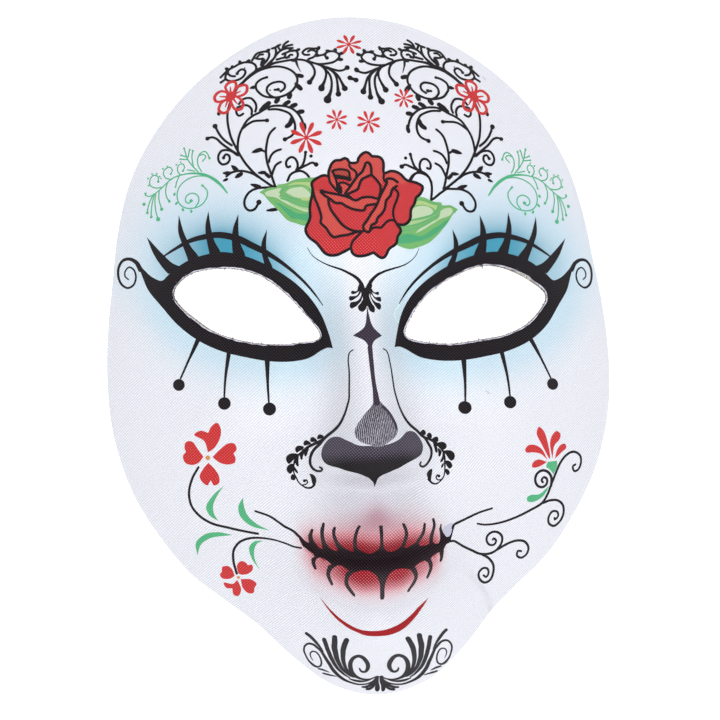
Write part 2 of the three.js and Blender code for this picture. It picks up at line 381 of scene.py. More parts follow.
def drawEye(p):
    upper = [-10.4, 2.9, -11.3, 7.5, -13.3, 14, -16.5, 19.6, -20.6, 24.3, -25.3, 28.2, -30.5, 31.6, -37.5, 35,
        -44.5, 36.9, -50, 36.6, -56, 35.2, -60, 33.2, -63.5, 30.7, -65.7, 29, -69, 30.5, -72, 33.6]
    lower = [-74.3, 36.2, -73.8, 35.6, -72.4, 31, -70.5, 26, -66.5, 20.5, -61, 13.5, -54.5, 8, -47, 4,
        -39, 1.5, -31.5, -0.2, -24.5, -0.7, -18.5, 0.1, -14, 2.5, -12, 3.2]
    p.area("black", upper, lower, gap=0.9)
    p.stroke("black", [-72.9, 33.4, -74.2, 35.9, -76.3, 37.3, -78.6, 37.2, -80.3, 35.3, -80.8, 32, -79.8, 29,
        -77.6, 27.5, -75.5, 28.5, -74.6, 31, -75.2, 33.5, -76.8, 34.6, -78.2, 33.4, -78.4, 31.6, -77.3, 30.4],
        (1.7, 1.1, 0.9, 0.8, 0.7, 0.6, 0.5))
    lashes = [
        ([-63.4, 31, -65, 33, -68, 38], [-70.2, 44.4, -65.2, 38.2, -61.7, 34.5, -59.2, 33]),
        ([-56.5, 34.9, -56.9, 36.5, -58.3, 41, -59.3, 45], [-58.8, 50.8, -57.2, 44, -55.2, 39.5, -53, 35.8]),
        ([-49.2, 36.3, -50, 42, -50.1, 46], [-48.8, 51.3, -48.2, 45, -47.4, 41, -45.6, 36.3]),
        ([-41.5, 35.2, -41.6, 40, -41, 44.5], [-38.9, 49.4, -39.2, 44, -39, 40, -37.6, 34.6]),
        ([-31.2, 31.1, -32, 35.5, -31.9, 39], [-29.8, 43.5, -30.4, 38.5, -30.3, 35, -28.8, 30.3]),
    ]
    for left, right in lashes:
        p.area("black", left, right, gap=1.0)
    p.stroke("black", [-65, 37, -60.5, 39.4, -55.5, 41.6, -50, 42.6, -46, 42.8, -40, 41.2, -35.3, 38.5,
        -30, 35.3, -24.5, 31.1, -19, 25.8, -15.5, 21.5, -12.7, 17.2], (0.5, 1.1, 1.6, 2.0, 2.2, 2.3, 2.1, 1.5,
        1.1, 0.9, 0.7, 0.25), gap=1.0)
    for path, widths, end, radius in (
            ([-54.6, 8.4, -58.5, 1, -61.2, -4.3], (1.6, 0.8, 0.62), (-61.9, -6.4), 2.0),
            ([-44.6, 3.6, -46.3, -5, -47, -11], (1.5, 0.9, 0.62), (-47.1, -13.3), 2.1),
            ([-32.2, 0.2, -32.5, -8, -32.5, -14], (1.7, 0.9, 0.62), (-32.4, -15.9), 2.15)):
        p.stroke("black", path, widths, gap=1.5)
        p.dot("black", *end, radius)


def drawBrow(p):
    p.stroke("black", [-17, 36.5, -15.5, 33.8, -13, 31.8, -10.9, 30.6, -8.1, 29.4, -6.1, 28.6, -4.3, 27.6,
        -3, 26.8, -2, 26.1, -1.1, 25.3, -0.3, 24.2, 0.3, 22.8, 0.4, 21.6], (0.2, 0.32, 0.42, 0.6, 0.8, 1.1,
        1.4))
    p.stroke("black", [19.8, 34.2, 18.5, 31.8, 16.5, 30, 14.5, 29, 11.1, 28.1, 9, 27.6, 7.2, 27, 5.8, 26.4,
        4.8, 25.7, 3.8, 24.8, 3, 23.8, 2.6, 22.7, 2.4, 21.5], (0.2, 0.3, 0.42, 0.6, 0.8, 1.1, 1.4))
    p.area("black", [1.2, 22.1, 0.7, 22.9, 0.2, 23.8], [-0.7, 23.7, -1.2, 22.4, -1.3, 21.5], [0, 20.8,
        0.1, 19.6, 0.2, 18.4, 0, 18.1, -0.7, 17.1, -1.5, 16.3, -1.6, 15.6, -1.3, 14.9, -0.8, 14.5, -0.1, 14.3,
        0.5, 14.7, 1.1, 15.4, 1.5, 16.2], [1.7, 15.9, 1.9, 15.2, 2.3, 14.5, 3, 14, 3.6, 13.9, 3.9, 14.3,
        4, 15, 3.9, 15.8, 3.4, 16.5, 2.9, 17.4, 2.5, 18.8, 2.4, 19.8, 2.6, 20.6], [3.2, 21.5, 3.6, 23.1],
        [2.8, 24.2, 2.1, 23.6, 1.6, 22.7], gap=0.4)
    for outline in (
            [-1.2, 21.8, -1.6, 21.3, -2.2, 21.2, -2.9, 21.5, -3.4, 21.3, -3.5, 20.8, -3.4, 20.5, -2.8, 20.3,
             -2, 20.5, -1.3, 20.9, -0.7, 21.4, -0.4, 22],
            [-0.7, 21.2, -1.4, 20.1, -2.2, 19.7, -3.2, 19.7, -4, 19.7, -4.3, 19.2, -4.2, 18.5, -3.8, 18.2,
             -3, 18.4, -2.1, 18.9, -1.3, 19.4, -0.7, 20.1, -0.2, 21.1],
            [-0.1, 21, -0.3, 19.6, -0.8, 18.8, -1.7, 18, -2.7, 17.8, -3.7, 17.7, -4.1, 17.1, -4.2, 16.4,
             -4, 15.8, -3.5, 15.6, -2.8, 15.9, -2, 16.3, -1.2, 17.1, -0.4, 17.9, 0, 18.9, 0.2, 20.8],
            [3.3, 21.8, 3.9, 20.8, 4.6, 20.5, 5.3, 20.7, 5.7, 20.5, 5.7, 19.9, 5.4, 19.6, 4.9, 19.7,
             4.2, 20.1, 3.7, 20.4, 3, 21.2],
            [3.2, 21.3, 3.8, 19.6, 4.6, 18.9, 5.6, 19, 6.2, 18.8, 6.3, 18.2, 6.3, 17.5, 5.8, 17.4, 5.1, 17.7,
             4.2, 18.4, 3.6, 19.2, 2.8, 20.8],
            [2.8, 21, 3.1, 19.1, 3.7, 18, 4.6, 17.2, 5.5, 17, 6, 16.6, 6.2, 15.8, 5.9, 14.9, 5.5, 14.7,
             4.9, 15.1, 4.2, 16, 3.6, 17, 3.1, 18.1, 2.8, 18.9, 2.5, 20.7]):
        p.blob("black", outline, gap=0.4)


noseSides = {
    "left": {
        "line": [-4.2, 2, -5.3, 1.2, -5.9, -1, -5.9, -5, -6.3, -10.6, -6.6, -14, -7.3, -16.2, -8.1, -18.4,
            -9.3, -20.8, -10.2, -22.2, -11.9, -23.9, -13.9, -25.4, -15.4, -26.7, -16.9, -28.4, -18.3, -29.6,
            -19.3, -31, -19.9, -32.5, -20.1, -34, -19.9, -35.2, -19, -36.5, -17.6, -37.1, -16.6, -36.9,
            -16.5, -36.2, -17.1, -35.8],
        "branch": [-14.3, -25.8, -16.8, -27.4, -18.8, -28.3, -20.5, -29.1, -21.8, -30, -23.1, -31.1,
            -24.4, -32.1, -25.1, -33.6, -25.5, -35.5, -25.5, -37.3, -24.9, -38.8, -24.1, -40.6, -22.9, -41.8,
            -21.5, -42.6, -20, -42.5, -19, -41.6],
        "crescent": [-20.5, -38, -19.1, -38.3, -18.4, -39.6, -18.4, -40.8, -19.2, -42.1, -19.7, -41.2,
            -19.9, -40.1, -20.1, -39],
        "curl": [-22.9, -41.6, -21.6, -41.3, -21.2, -40.6, -21.7, -39.9, -22.2, -40.2],
        "leaves": [
            [-17.4, -26.6, -17.3, -25.9, -16.7, -25.1, -15.7, -25.3, -15.2, -25.9, -16.3, -26.5],
            [-19.6, -27.3, -19.5, -26.2, -18.8, -25.8, -18, -26.3, -17.4, -27.2, -18.5, -27.5],
            [-21.8, -28.5, -21.7, -27.2, -21, -26.8, -20.1, -27.2, -19.4, -28, -20.6, -28.4],
            [-24.2, -30.8, -24.7, -29.6, -24.2, -28.7, -23, -28.5, -21.8, -29, -22.2, -29.8, -23.3, -30.3],
            [-27, -34.4, -27.9, -32.7, -27.4, -31.6, -26, -30.9, -24.3, -31.1, -23.4, -31.5, -24.4, -32.4,
             -25.3, -33, -26, -33.7],
            [-26.7, -37.7, -27.7, -36.8, -27.8, -35.7, -27, -34.7, -25.9, -34.3, -25.4, -34.9, -25.6, -36,
             -26.1, -37.3],
            [-25.7, -39.9, -26.6, -39.5, -26.5, -38.5, -26, -37.8, -25.5, -38, -25, -38.8, -25.1, -39.6],
            [-21.3, -29.4, -20.2, -29.1, -20.6, -30.7, -21.2, -32, -21.6, -32.1, -21.9, -31.2],
            [-23.2, -30.9, -21.7, -30.4, -22.2, -31.9, -22.6, -33.2, -23, -33.1, -23.3, -32.1],
            [-25.2, -32.8, -23.7, -31.4, -23.8, -33.6, -23.9, -35.4, -24.3, -35.3, -24.9, -34.3],
            [-25.4, -35.1, -24.7, -36.1, -24.1, -37.4, -24.3, -37.8, -24.8, -37.3, -25.4, -36.4],
        ],
    },
    "right": {
        "line": [5.9, 1.8, 6.8, 1.2, 7.4, -0.1, 7.7, -2, 8.1, -5.5, 8.4, -9.8, 8.6, -11.8, 9.1, -14.3,
            9.9, -17.4, 10.9, -19.9, 12, -22, 13.7, -24.1, 15.5, -25.7, 16.7, -27.1, 18, -28.2, 19, -30,
            19.9, -31.8, 20, -33.6, 19.5, -35.1, 18.5, -36.5, 17.1, -37.5, 16, -37.3, 15.5, -36.6,
            15.9, -35.9],
        "branch": [17.5, -27.8, 20.3, -29.1, 21.8, -30.2, 23.1, -31.6, 24, -32.9, 24.5, -34.9, 24.5, -37.2,
            24.4, -39.5, 23.9, -41.5, 22.8, -42.8, 21.2, -43.7, 19.7, -43.2, 18.7, -42],
        "crescent": [18.1, -40.3, 18.5, -39.3, 19.3, -38.7, 20, -38.6, 19.9, -40.4, 19.6, -41.8, 19.5, -43,
            18.6, -41.9],
        "curl": [23.1, -42.4, 21.8, -42.4, 21.3, -41.4, 21.9, -40.8, 22.3, -41.2],
        "leaves": [
            [16.5, -26.4, 17.4, -25.5, 18, -25.6, 18.5, -26.5, 18.3, -27.2, 17.5, -27.2],
            [18.7, -27.6, 19.1, -26.8, 19.8, -26.6, 20.5, -27.4, 20.4, -28.4, 19.6, -28.4],
            [20.5, -28.8, 21.3, -28.2, 22.3, -28.1, 22.7, -29, 22.4, -29.8, 21.5, -29.8],
            [22.2, -30.3, 23.4, -29.9, 24.7, -30.2, 25.4, -31.2, 25, -32.2, 24.2, -32.5, 23.2, -31.5],
            [24.1, -33, 25.6, -32.8, 27.1, -33.2, 28, -34.4, 27.7, -35.9, 26.8, -36.4, 26, -35.8, 25, -34.2],
            [24.7, -36.3, 26, -36.4, 26.9, -37.4, 27, -38.4, 26, -39, 25.4, -38.4, 24.8, -37.3],
            [24.6, -39, 25.6, -39.3, 26.1, -40.4, 25.5, -41.2, 24.9, -40.8, 24.5, -39.8],
            [20.8, -29.9, 21.9, -30.7, 22.1, -33.3, 21.5, -33.3, 21.2, -32.2],
            [22.4, -31.9, 23.6, -33.1, 22.9, -34.7, 22.5, -34.7, 22.4, -33.5],
            [23.9, -33.6, 24.3, -35.4, 23.5, -36.6, 23, -36.7, 23, -36.1, 23.6, -35.1],
            [24.2, -37, 23.7, -38.4, 23.2, -38.6, 23.2, -38, 23.7, -37.2],
        ],
    },
}


def drawNose(p):
    for side in noseSides.values():
        p.stroke("black", side["line"], (0.42, 0.5, 0.56, 0.66, 0.9, 0.95, 0.9, 0.7))
        p.stroke("black", side["branch"], (0.7, 1.0, 0.75, 0.65, 0.45, 0.5, 0.8))
        p.blob("black", side["crescent"])
        p.stroke("black", side["curl"], (0.4, 0.45, 0.5, 0.6))
        p.dot("black", *side["curl"][-2:], 0.52)
        for outline in side["leaves"]:
            p.blob("black", outline, gap=0.4)
    # the pad darkens towards its foot: partly painted shade where it turns under the nose
    p.area("nosePad", [0.4, -43.3, 0, -41.8, -0.8, -40.8, -1.9, -39.8, -3.1, -39.2, -4.9, -38.3, -6.8, -37.7,
        -9.3, -36.9, -11.7, -35.9, -13.5, -35.4, -15.1, -34.7, -16, -33.7, -16.5, -32, -16.1, -29.8,
        -15, -27.9, -13.5, -26.5, -12.1, -26, -10.4, -26.1, -8.7, -27, -6.9, -27.9, -5.4, -28.7, -3.6, -29.1,
        -1, -29.2, 1.6, -29.4, 3.9, -29.2, 6.3, -28.7, 8.3, -28, 9.7, -27.2, 11.3, -25.9, 12.7, -25.5,
        14.3, -25.9, 15.6, -27.2, 16.5, -28.8, 17, -30.3, 16.9, -31.8, 16, -33.4, 13.8, -34.5, 11.6, -35.3,
        9.8, -36.2, 8.1, -37.1, 6.1, -37.9, 4.2, -38.7, 2.5, -39.4, 1.4, -40.4, 0.9, -42])
    p.area("teardrop", [1.3, -15.2, 0.1, -16.8, -1.7, -18.6, -3.5, -20.7, -4.9, -22.6, -5.7, -24.3,
        -5.5, -26.2, -4.6, -27.4, -3, -28.4, -0.9, -29, 0, -29.6, 2.8, -29.6, 3.7, -29.1, 5, -28.4,
        6.7, -27.5, 8, -26.3, 8.6, -24.6, 8.4, -22.9, 7.7, -21.2, 6.8, -19.4, 5.6, -17.8, 4.1, -16.2,
        2.9, -14.9])
    p.area("plum", [4.1, -16.2, 5.6, -17.8, 6.8, -19.4, 7.7, -21.2, 8.4, -22.9, 8.6, -24.6], [8.3, -25.6,
        7.8, -24.2, 7.2, -22.2, 6.3, -20.2, 5, -18.4, 3.8, -17.2])
    p.area("plum", [1.5, 16.2, 1.9, 13, 2.8, 9.4], [5.7, 6.1, 2.8, 4.4], [1.5, 0.8, -0.1, 4.5], [-3.9, 6.7,
        0, 9.3, 1, 13])
    p.stroke("plum", [1.3, 2.5, 1.6, -8, 1.9, -12.1, 2.1, -15.4], (1.6, 1.5, 1.35, 1.4, 2.3), gap=1.2)


mouthOutline = [
    # upper edge from the left corner: bays between the stitches, each stitch up one side and down the other
    [-25.4, -57.6, -24.4, -58.5, -23.7, -59.4, -23, -60.2, -22.2, -60.8, -21.5, -61],
    [-21.1, -60.9, -21, -60.3, -21.3, -59.3, -21.5, -58.4, -21.3, -57.2], [-20.6, -56.3],
    [-20.3, -56.5, -20.5, -57.7, -20.5, -59.1, -20.2, -60, -19.7, -60.9, -19.1, -61.9, -18.5, -62.7,
     -17.6, -63, -16.9, -62.8],
    [-16.7, -62.1, -17, -60.9, -17.7, -59.2, -18.1, -57.6, -17.9, -55.9, -17.3, -54.8], [-16.85, -54],
    [-16.6, -54.1, -17.1, -55.7, -17.4, -57.2, -17.2, -58.8, -16.6, -60.2, -15.9, -61.6, -15.3, -62.6,
     -14.3, -63.4, -13, -63.7, -12.1, -63.7],
    [-11.8, -63, -11.9, -61.8, -12.8, -60.8, -13.7, -59.2, -14.3, -57.4, -14.2, -56.4], [-13.3, -55.5],
    [-13, -55.7, -13.4, -56.8, -13.4, -58.1, -12.9, -59.7, -12.2, -60.9, -11.5, -61.8, -10.5, -62.7,
     -9.2, -63.5, -7.9, -64.1],
    [-6.7, -64.1, -7.4, -62.8, -7.6, -60.9, -7.4, -59.2, -6.9, -57.7, -6, -56.3], [-5.3, -55.4],
    [-4.8, -55.7, -5.8, -57.1, -6.4, -58.5, -6.6, -60.3, -6.6, -61.7, -6.2, -62.9, -5.3, -63.7,
     -4, -64.5, -2.5, -65, -1.2, -64.8, -0.1, -64.1, 0.6, -63.2],
    [1, -62.3, 1, -60, 1, -58.1, 1, -57], [1, -55.8],
    [2.2, -55.8], [2.2, -56.5, 2.2, -58, 2.1, -59.8, 2.1, -61.8, 2.4, -63.3, 3.1, -64.3, 4, -64.8,
     5.2, -64.8, 6.7, -64.2, 7.8, -63.3],
    [8.8, -62.3, 9.3, -60.9, 9.6, -59.2, 9.4, -57.8, 8.9, -56.4], [8.6, -55.5],
    [9.5, -55.6, 10.1, -57, 10.3, -58.6, 10.1, -60.5, 9.6, -61.9, 9, -63.1],
    [9.1, -63.7, 10.1, -63.9, 11.3, -63.4, 12.8, -62.6],
    [14, -61.3, 15.2, -59.8, 15.9, -58.4, 16.3, -57], [15.9, -55.9],
    [16.5, -56.1, 16.6, -57.3, 16.2, -58.9, 15.4, -60.1, 14.5, -61.5, 14.2, -62.7, 14.8, -63.8,
     15.8, -63.9, 17.1, -63.7],
    [18.1, -63.5, 18, -62, 18.2, -60.2, 18.9, -58.8, 19.5, -57.2, 19.6, -55.7], [19.2, -54.8],
    [19.6, -54.8, 20, -56.3, 19.9, -57.7, 19.4, -59.4, 19.1, -60.6, 19.2, -62.2, 19.4, -63.2,
     20.1, -63.7, 21.1, -63.6, 21.7, -62.9],
    [21.9, -61.8, 21.8, -60, 21.5, -58.9, 21.8, -57.7], [22, -57],
    [22.4, -57.1, 22.4, -58.3, 22.8, -59.6, 23.5, -60.9],
    [24.1, -61.8, 25, -61.7, 25.7, -60.9, 26.1, -59.5, 26.3, -58],
    [26.8, -57.6], [27.1, -58.3, 26.6, -59.8, 26.1, -61.4], [25.6, -63, 25.2, -63.7],
    # lower edge, back from the right corner
    [24, -64.2, 23.4, -65, 23, -65.9, 22.9, -67.1, 22.3, -68.7], [21.7, -69.9],
    [21.5, -69.6, 21.9, -68.4, 22, -67.5, 21.7, -66.8, 20.9, -66.7, 19.8, -67, 18.8, -67.6],
    [18.1, -68.3, 18.7, -69.7, 18.8, -70.7, 18.2, -72.8, 17.4, -74.5], [16.7, -75.3],
    [16.5, -75, 17.2, -73.7, 17.8, -72, 17.7, -70.5, 16.9, -69.4, 15.9, -68.8, 14.9, -68.8,
     13.6, -69.5],
    [12.4, -70.3, 13.3, -72.3, 13.4, -73.8, 12.8, -75.6, 11.3, -77.7], [9.9, -79.2],
    [9.7, -78.8, 11.1, -77.3, 12, -75.4, 12.4, -74, 12, -72.4, 10.9, -71.3, 9.3, -70.7, 7.7, -70.5,
     5.7, -70.7, 4.3, -71.4, 3.3, -72.6, 2.6, -74, 2.2, -75.4, 2, -77.5, 2, -80.1],
    [1.7, -80.8, 1.2, -80.95, 0.7, -80.7],
    [0.55, -79.5, 0.5, -77.1, 0.4, -75.2, 0, -73.8, -0.6, -72.4, -1.6, -71.4, -2.9, -70.6,
     -4.4, -70.4, -5.9, -70.4, -7.4, -70.8, -8.8, -71.6, -9.6, -72.9, -9.8, -74.6, -9.6, -76,
     -8.7, -77.7],
    [-7.5, -79.3], [-7.8, -79.5, -8.8, -78.5, -9.9, -77, -10.8, -75.3, -10.9, -73.9, -10.3, -72.1],
    [-9.5, -70.3, -10.4, -69.5, -11.4, -68.8, -12.7, -68.4, -13.5, -68.7, -14.6, -69.6, -15.4, -70.9,
     -15.7, -72.2, -15.4, -73.7],
    [-14.7, -75.3], [-14.95, -75.5, -15.8, -74, -16.4, -72.3, -16.6, -70.7, -15.9, -69.4],
    [-15, -68, -15.4, -67.7, -16.2, -67, -17.2, -66.3, -18.2, -65.9, -19.1, -66, -19.7, -66.5,
     -20, -67.4, -20.2, -68.8],
    [-19.9, -69.9], [-20.1, -70, -20.6, -68.5, -20.9, -67.4, -20.7, -66.3],
    [-20.2, -65.5, -20.7, -64.5, -21.8, -63.7, -22.8, -62.8],
    [-23.8, -62.1, -24.3, -61, -24.8, -59.8, -25.2, -58.5],
]


# Stitches over both lips, thicker at the mouth
stitches = [
    [-21, -61, -21.3, -58.5, -20.6, -56.5], [-16.8, -62.4, -17.5, -58, -16.9, -54.5],
    [-12, -63.3, -13.8, -58, -13.4, -55.9], [-7, -63.8, -7.1, -59.8, -6.3, -57.1, -5.5, -55.8],
    [8.9, -62.8, 9.9, -58.8, 9.1, -56], [14, -62, 15.6, -59.4, 16.3, -56.5],
    [18.6, -63, 19, -60, 19.7, -57.1, 19.4, -55.2], [-20.6, -66.5, -20.6, -68, -20.1, -69.5],
    [-15.5, -69, -16.1, -71.5, -15, -74.9], [-9.9, -71.2, -10.4, -74.5, -8, -78.8],
    [11.6, -71, 12.7, -74, 10.2, -78.5], [17.6, -69, 18.1, -71.5, 16.9, -74.6],
    [22, -67, 22.1, -68.3, 21.7, -69.5],
]


def drawMouth(p):
    p.blob("lilac", [23, -58.6, 24, -57.8, 26.4, -57.2, 26.2, -58.8, 25.7, -60.9, 25, -61.7, 24.1, -61.8,
        23.4, -60.7])
    p.area("mouthBlack", *mouthOutline, gap=0.5)
    for path in stitches:
        p.stroke("mouthBlack", path, (1.35, 1.2, 0.9), gap=0.5)
    p.stroke("black", [-25, -58.6, -26.4, -57.1, -27.7, -56.2, -29.2, -55.4, -34, -51.8, -38.8, -49.8],
        (0.9, 0.75, 0.7))
    p.stroke("black", [26.4, -59, 26.8, -58, 28.1, -57.35, 30, -56.7, 36, -54.6, 40.6, -53.6],
        (0.9, 0.8, 0.7))


def drawSmile(p):
    p.area("smile", [-19.1, -79.6, -18.1, -81.2, -16.7, -83.5, -15.3, -85.5, -13.9, -87.2, -11.7, -89.2,
        -9.6, -90.7, -7.4, -91.8, -4.9, -92.9, -2.3, -93.3, 0.3, -93.4, 3, -93.3, 5.8, -92.7, 8.5, -91.5,
        10.9, -89.7, 12.9, -87.9, 14.5, -86, 16.2, -83.8], [17.4, -81.9, 15.3, -83.6, 13.6, -84.9,
        11.6, -86.8, 9.5, -88.3, 7.1, -89.7, 4.7, -90.6, 1.9, -91.3, -0.7, -91.5, -3.4, -91.4, -5.9, -91,
        -8.1, -90.1, -10.6, -88.6, -12.7, -87, -14.5, -85.2, -16.3, -83.2, -17.9, -81], gap=1.0)


def drawChinSide(p):
    for path, widths in (
            ([0, -109.6, -0.7, -110.6, -1.6, -111.6, -2.9, -112.3, -4.4, -112.6, -6.4, -112.6, -8.6, -111.9,
             -10.6, -111, -12.4, -109.7, -13.9, -108.1, -15.2, -106.3, -16.1, -104.5, -17, -102.9,
             -17.8, -101.4, -18.9, -99.4, -20, -98.3, -21.2, -97.2, -22.5, -96.8, -23.4, -97, -24.2, -97.9,
             -24.5, -99.6, -24, -101.3, -23.2, -103.1, -22.1, -104.5, -20.9, -105.5, -19.8, -105.7,
             -19, -105.1, -18.8, -103.8, -19.1, -102.3, -19.8, -100.8, -20.8, -99.8, -21.8, -99.8,
             -22.4, -100.5, -22.4, -101.6, -22, -102.6, -21.5, -103.4], (0.5, 0.55, 0.5, 0.6, 0.9, 1.05, 1.0,
             0.85, 0.7, 0.68, 0.5, 0.42, 0.7, 0.48, 0.42, 0.42, 0.15)),
            ([-23.6, -93, -22.2, -94.2, -20.8, -95.8, -19.5, -97.5, -18.1, -99.6], (0.9, 0.9, 0.85, 0.6,
             0.15)),
            ([-17.9, -94.9, -17.4, -96.5, -16.9, -98.3, -16.3, -100, -15.5, -102.1, -14.6, -104.1,
             -13.5, -106, -12.2, -107.5, -10.9, -108.8, -9.3, -109.9], (1.2, 1.2, 1.15, 1.0, 0.7, 0.3)),
            ([-14.5, -93.9, -14.5, -95.6, -14.6, -97.6, -14.2, -99.9, -13.8, -102, -13.1, -103.8,
             -12.2, -105.7, -11.1, -107.2, -9.8, -108.6, -8.2, -109.7], (1.5, 1.7, 1.5, 1.15, 0.8, 0.3)),
            ([-10.7, -94.8, -11.2, -96.2, -11.7, -98.2, -11.8, -100.3, -11.7, -102.4, -11.3, -104.3,
             -10.6, -106.2, -9.8, -107.5, -8.7, -108.8, -7.4, -109.8], (1.5, 1.6, 1.35, 1.05, 0.7, 0.3)),
            ([0, -109.5, -0.9, -109.9, -2.1, -110.5, -3.7, -110.7, -5, -110.5, -6.3, -110, -7.6, -109.1,
             -8.6, -107.8, -9.2, -105.9, -9.3, -104, -8.8, -102.3, -7.9, -101.3, -6.6, -100.9, -5.3, -101.5,
             -4.2, -102.9, -3.5, -104.5, -3.5, -106.2, -4.2, -107.4, -5, -107.5, -5.8, -107, -6.2, -106],
             (0.4, 0.5, 0.6, 0.8, 1.2, 1.35, 1.3, 1.15, 1.05, 1.15, 1.25, 1.2, 0.8, 0.4)),
            ([-9.5, -110.3, -7.6, -111, -5.5, -111.4, -3.8, -111.3, -2.4, -110.9], (0.3, 0.7, 0.8, 0.5, 0.2)),
            ([-19.7, -106.5, -18.7, -106.7, -17.4, -107.2, -16.1, -107.8], (0.5, 0.6, 0.45, 0.15)),
            ([-18.2, -108.2, -16.8, -108.6, -15.2, -109, -13.7, -109.4], (0.5, 0.6, 0.45, 0.15)),
            ([-5, -113.7, -4, -113.7, -2.6, -113.2, -1.3, -111.9, -0.4, -110.3], (0.6, 0.9, 0.9, 0.6, 0.4)),
            ([-3.5, -114.6, -2.6, -114.5, -1.6, -113.8, -0.8, -112.5, -0.2, -110.8], (0.8, 0.95, 0.8, 0.5,
             0.4))):
        p.stroke("wornBlack", path, np.array(widths) * 1.1 + 0.1)


def drawChin(p):
    p.pair(drawChinSide, mirrored("chin"))
    p.blob("wornBlack", [-0.2, -109.4, 0.4, -109.5, 0.5, -112, 0.9, -113.6, 0.9, -115, 0.2, -115.8,
        -0.5, -115.5, -0.8, -114.5, -0.6, -112.8, -0.3, -111])
    p.blob("wornBlack", [0.9, -109.4, 1.9, -109.5, 2.2, -111, 2.7, -113.2, 2.9, -114.8, 2.4, -115.8,
        1.7, -115.8, 1.4, -115, 1.3, -113.4, 0.8, -112])


def drawLeftCheek(p):
    p.stroke("black", [-56.9, -34.3, -59.3, -38.3, -60.6, -43, -60, -47.5, -57.5, -51, -53.5, -53.7,
        -48, -55.3, -42.5, -56.7, -38.3, -57.6], (0.78, 0.86, 0.82))
    p.stroke("black", [-24.3, -62.7, -25.4, -62.45, -26.7, -62.2, -29.2, -61.1, -33, -59.8, -37, -59.1,
        -41, -59.1, -44.5, -60.4, -46.6, -63.2, -46.9, -67, -46, -71.6], (0.65, 0.6, 0.8, 0.85, 0.85))
    crescents = [
        ([-48.6, -40.7, -52.5, -44, -55.1, -48, -54, -51], [-51.2, -52.9, -52.5, -50.5, -52.7, -47.5,
         -51, -44]),
        ([-42.6, -45, -44.3, -48, -43.8, -51.5, -40.5, -54.8], [-34.2, -56.6, -38.5, -54.2, -41.5, -51,
         -42.5, -47.5]),
        ([-46.7, -57.9, -51.5, -56.8, -56, -57.5, -59.3, -60.5], [-59, -65, -57.5, -61, -54, -58.8,
         -50, -58.2]),
        ([-36.5, -60, -39.5, -60.2, -41.4, -62.3, -40.8, -66], [-38.2, -70.3, -39.7, -66.5, -39.8, -63.5,
         -38.7, -61]),
    ]
    for outer, inner in crescents:
        p.area("stemGreen", outer, inner)
    petals = [
        ([-53.4, -29.4, -54.5, -25.5, -57.7, -23.3, -55.5, -22], [-53, -22.8, -51.8, -20.7, -49.8, -19.6,
         -48.7, -22, -49.5, -25.5, -51.3, -28]),
        ([-52, -31, -49.5, -28.6, -46.5, -26.6, -44.5, -26.8, -43.9, -28.8], [-45, -30.1, -44.4, -31.5,
         -44.8, -33.2, -47.5, -33.7, -50, -32.8]),
        ([-53.5, -32.9, -55.3, -34.8, -56.7, -37.5, -55.8, -39.5, -54.3, -40.6], [-53, -38.9, -52, -40.7,
         -50.3, -39.9, -50.3, -37.3, -51.7, -34.8]),
        ([-55, -30.8, -56.7, -28.2, -58.6, -25.5, -60.7, -25.7, -61.2, -27.7], [-60.8, -29, -61.9, -30.3,
         -61.3, -32.6, -59, -33.5, -56.8, -32.8]),
        ([-45.5, -71.5, -45.8, -68.7, -44.3, -67.1, -42.6, -67.8], [-42.2, -68.6, -40.7, -68.5, -40.6, -70.2,
         -42, -71.6, -44.5, -72]),
        ([-46.7, -72.5, -48.5, -73.5, -51, -73.3, -51.7, -71.9], [-51, -70.9, -50.8, -69.2, -49, -68.8,
         -47.5, -70]),
        ([-44.8, -73.6, -41.4, -73.7, -39.5, -75.2], [-40.3, -76.9, -40.6, -78.6, -42.3, -78.8,
         -44.2, -76.8]),
        ([-46, -73.9, -47.5, -75.3, -50.6, -74.9, -49.8, -76.8], [-47.8, -77, -47.4, -79.4, -45.8, -79.8,
         -44.8, -77.5, -45.3, -75.3]),
    ]
    for upToNotch, fromNotch in petals:
        p.area("flowerRed", upToNotch, fromNotch, gap=0.5)
    p.dot("flowerEye", -53.6, -31.2, 0.8)
    p.dot("flowerEye", -45.5, -73, 0.55)


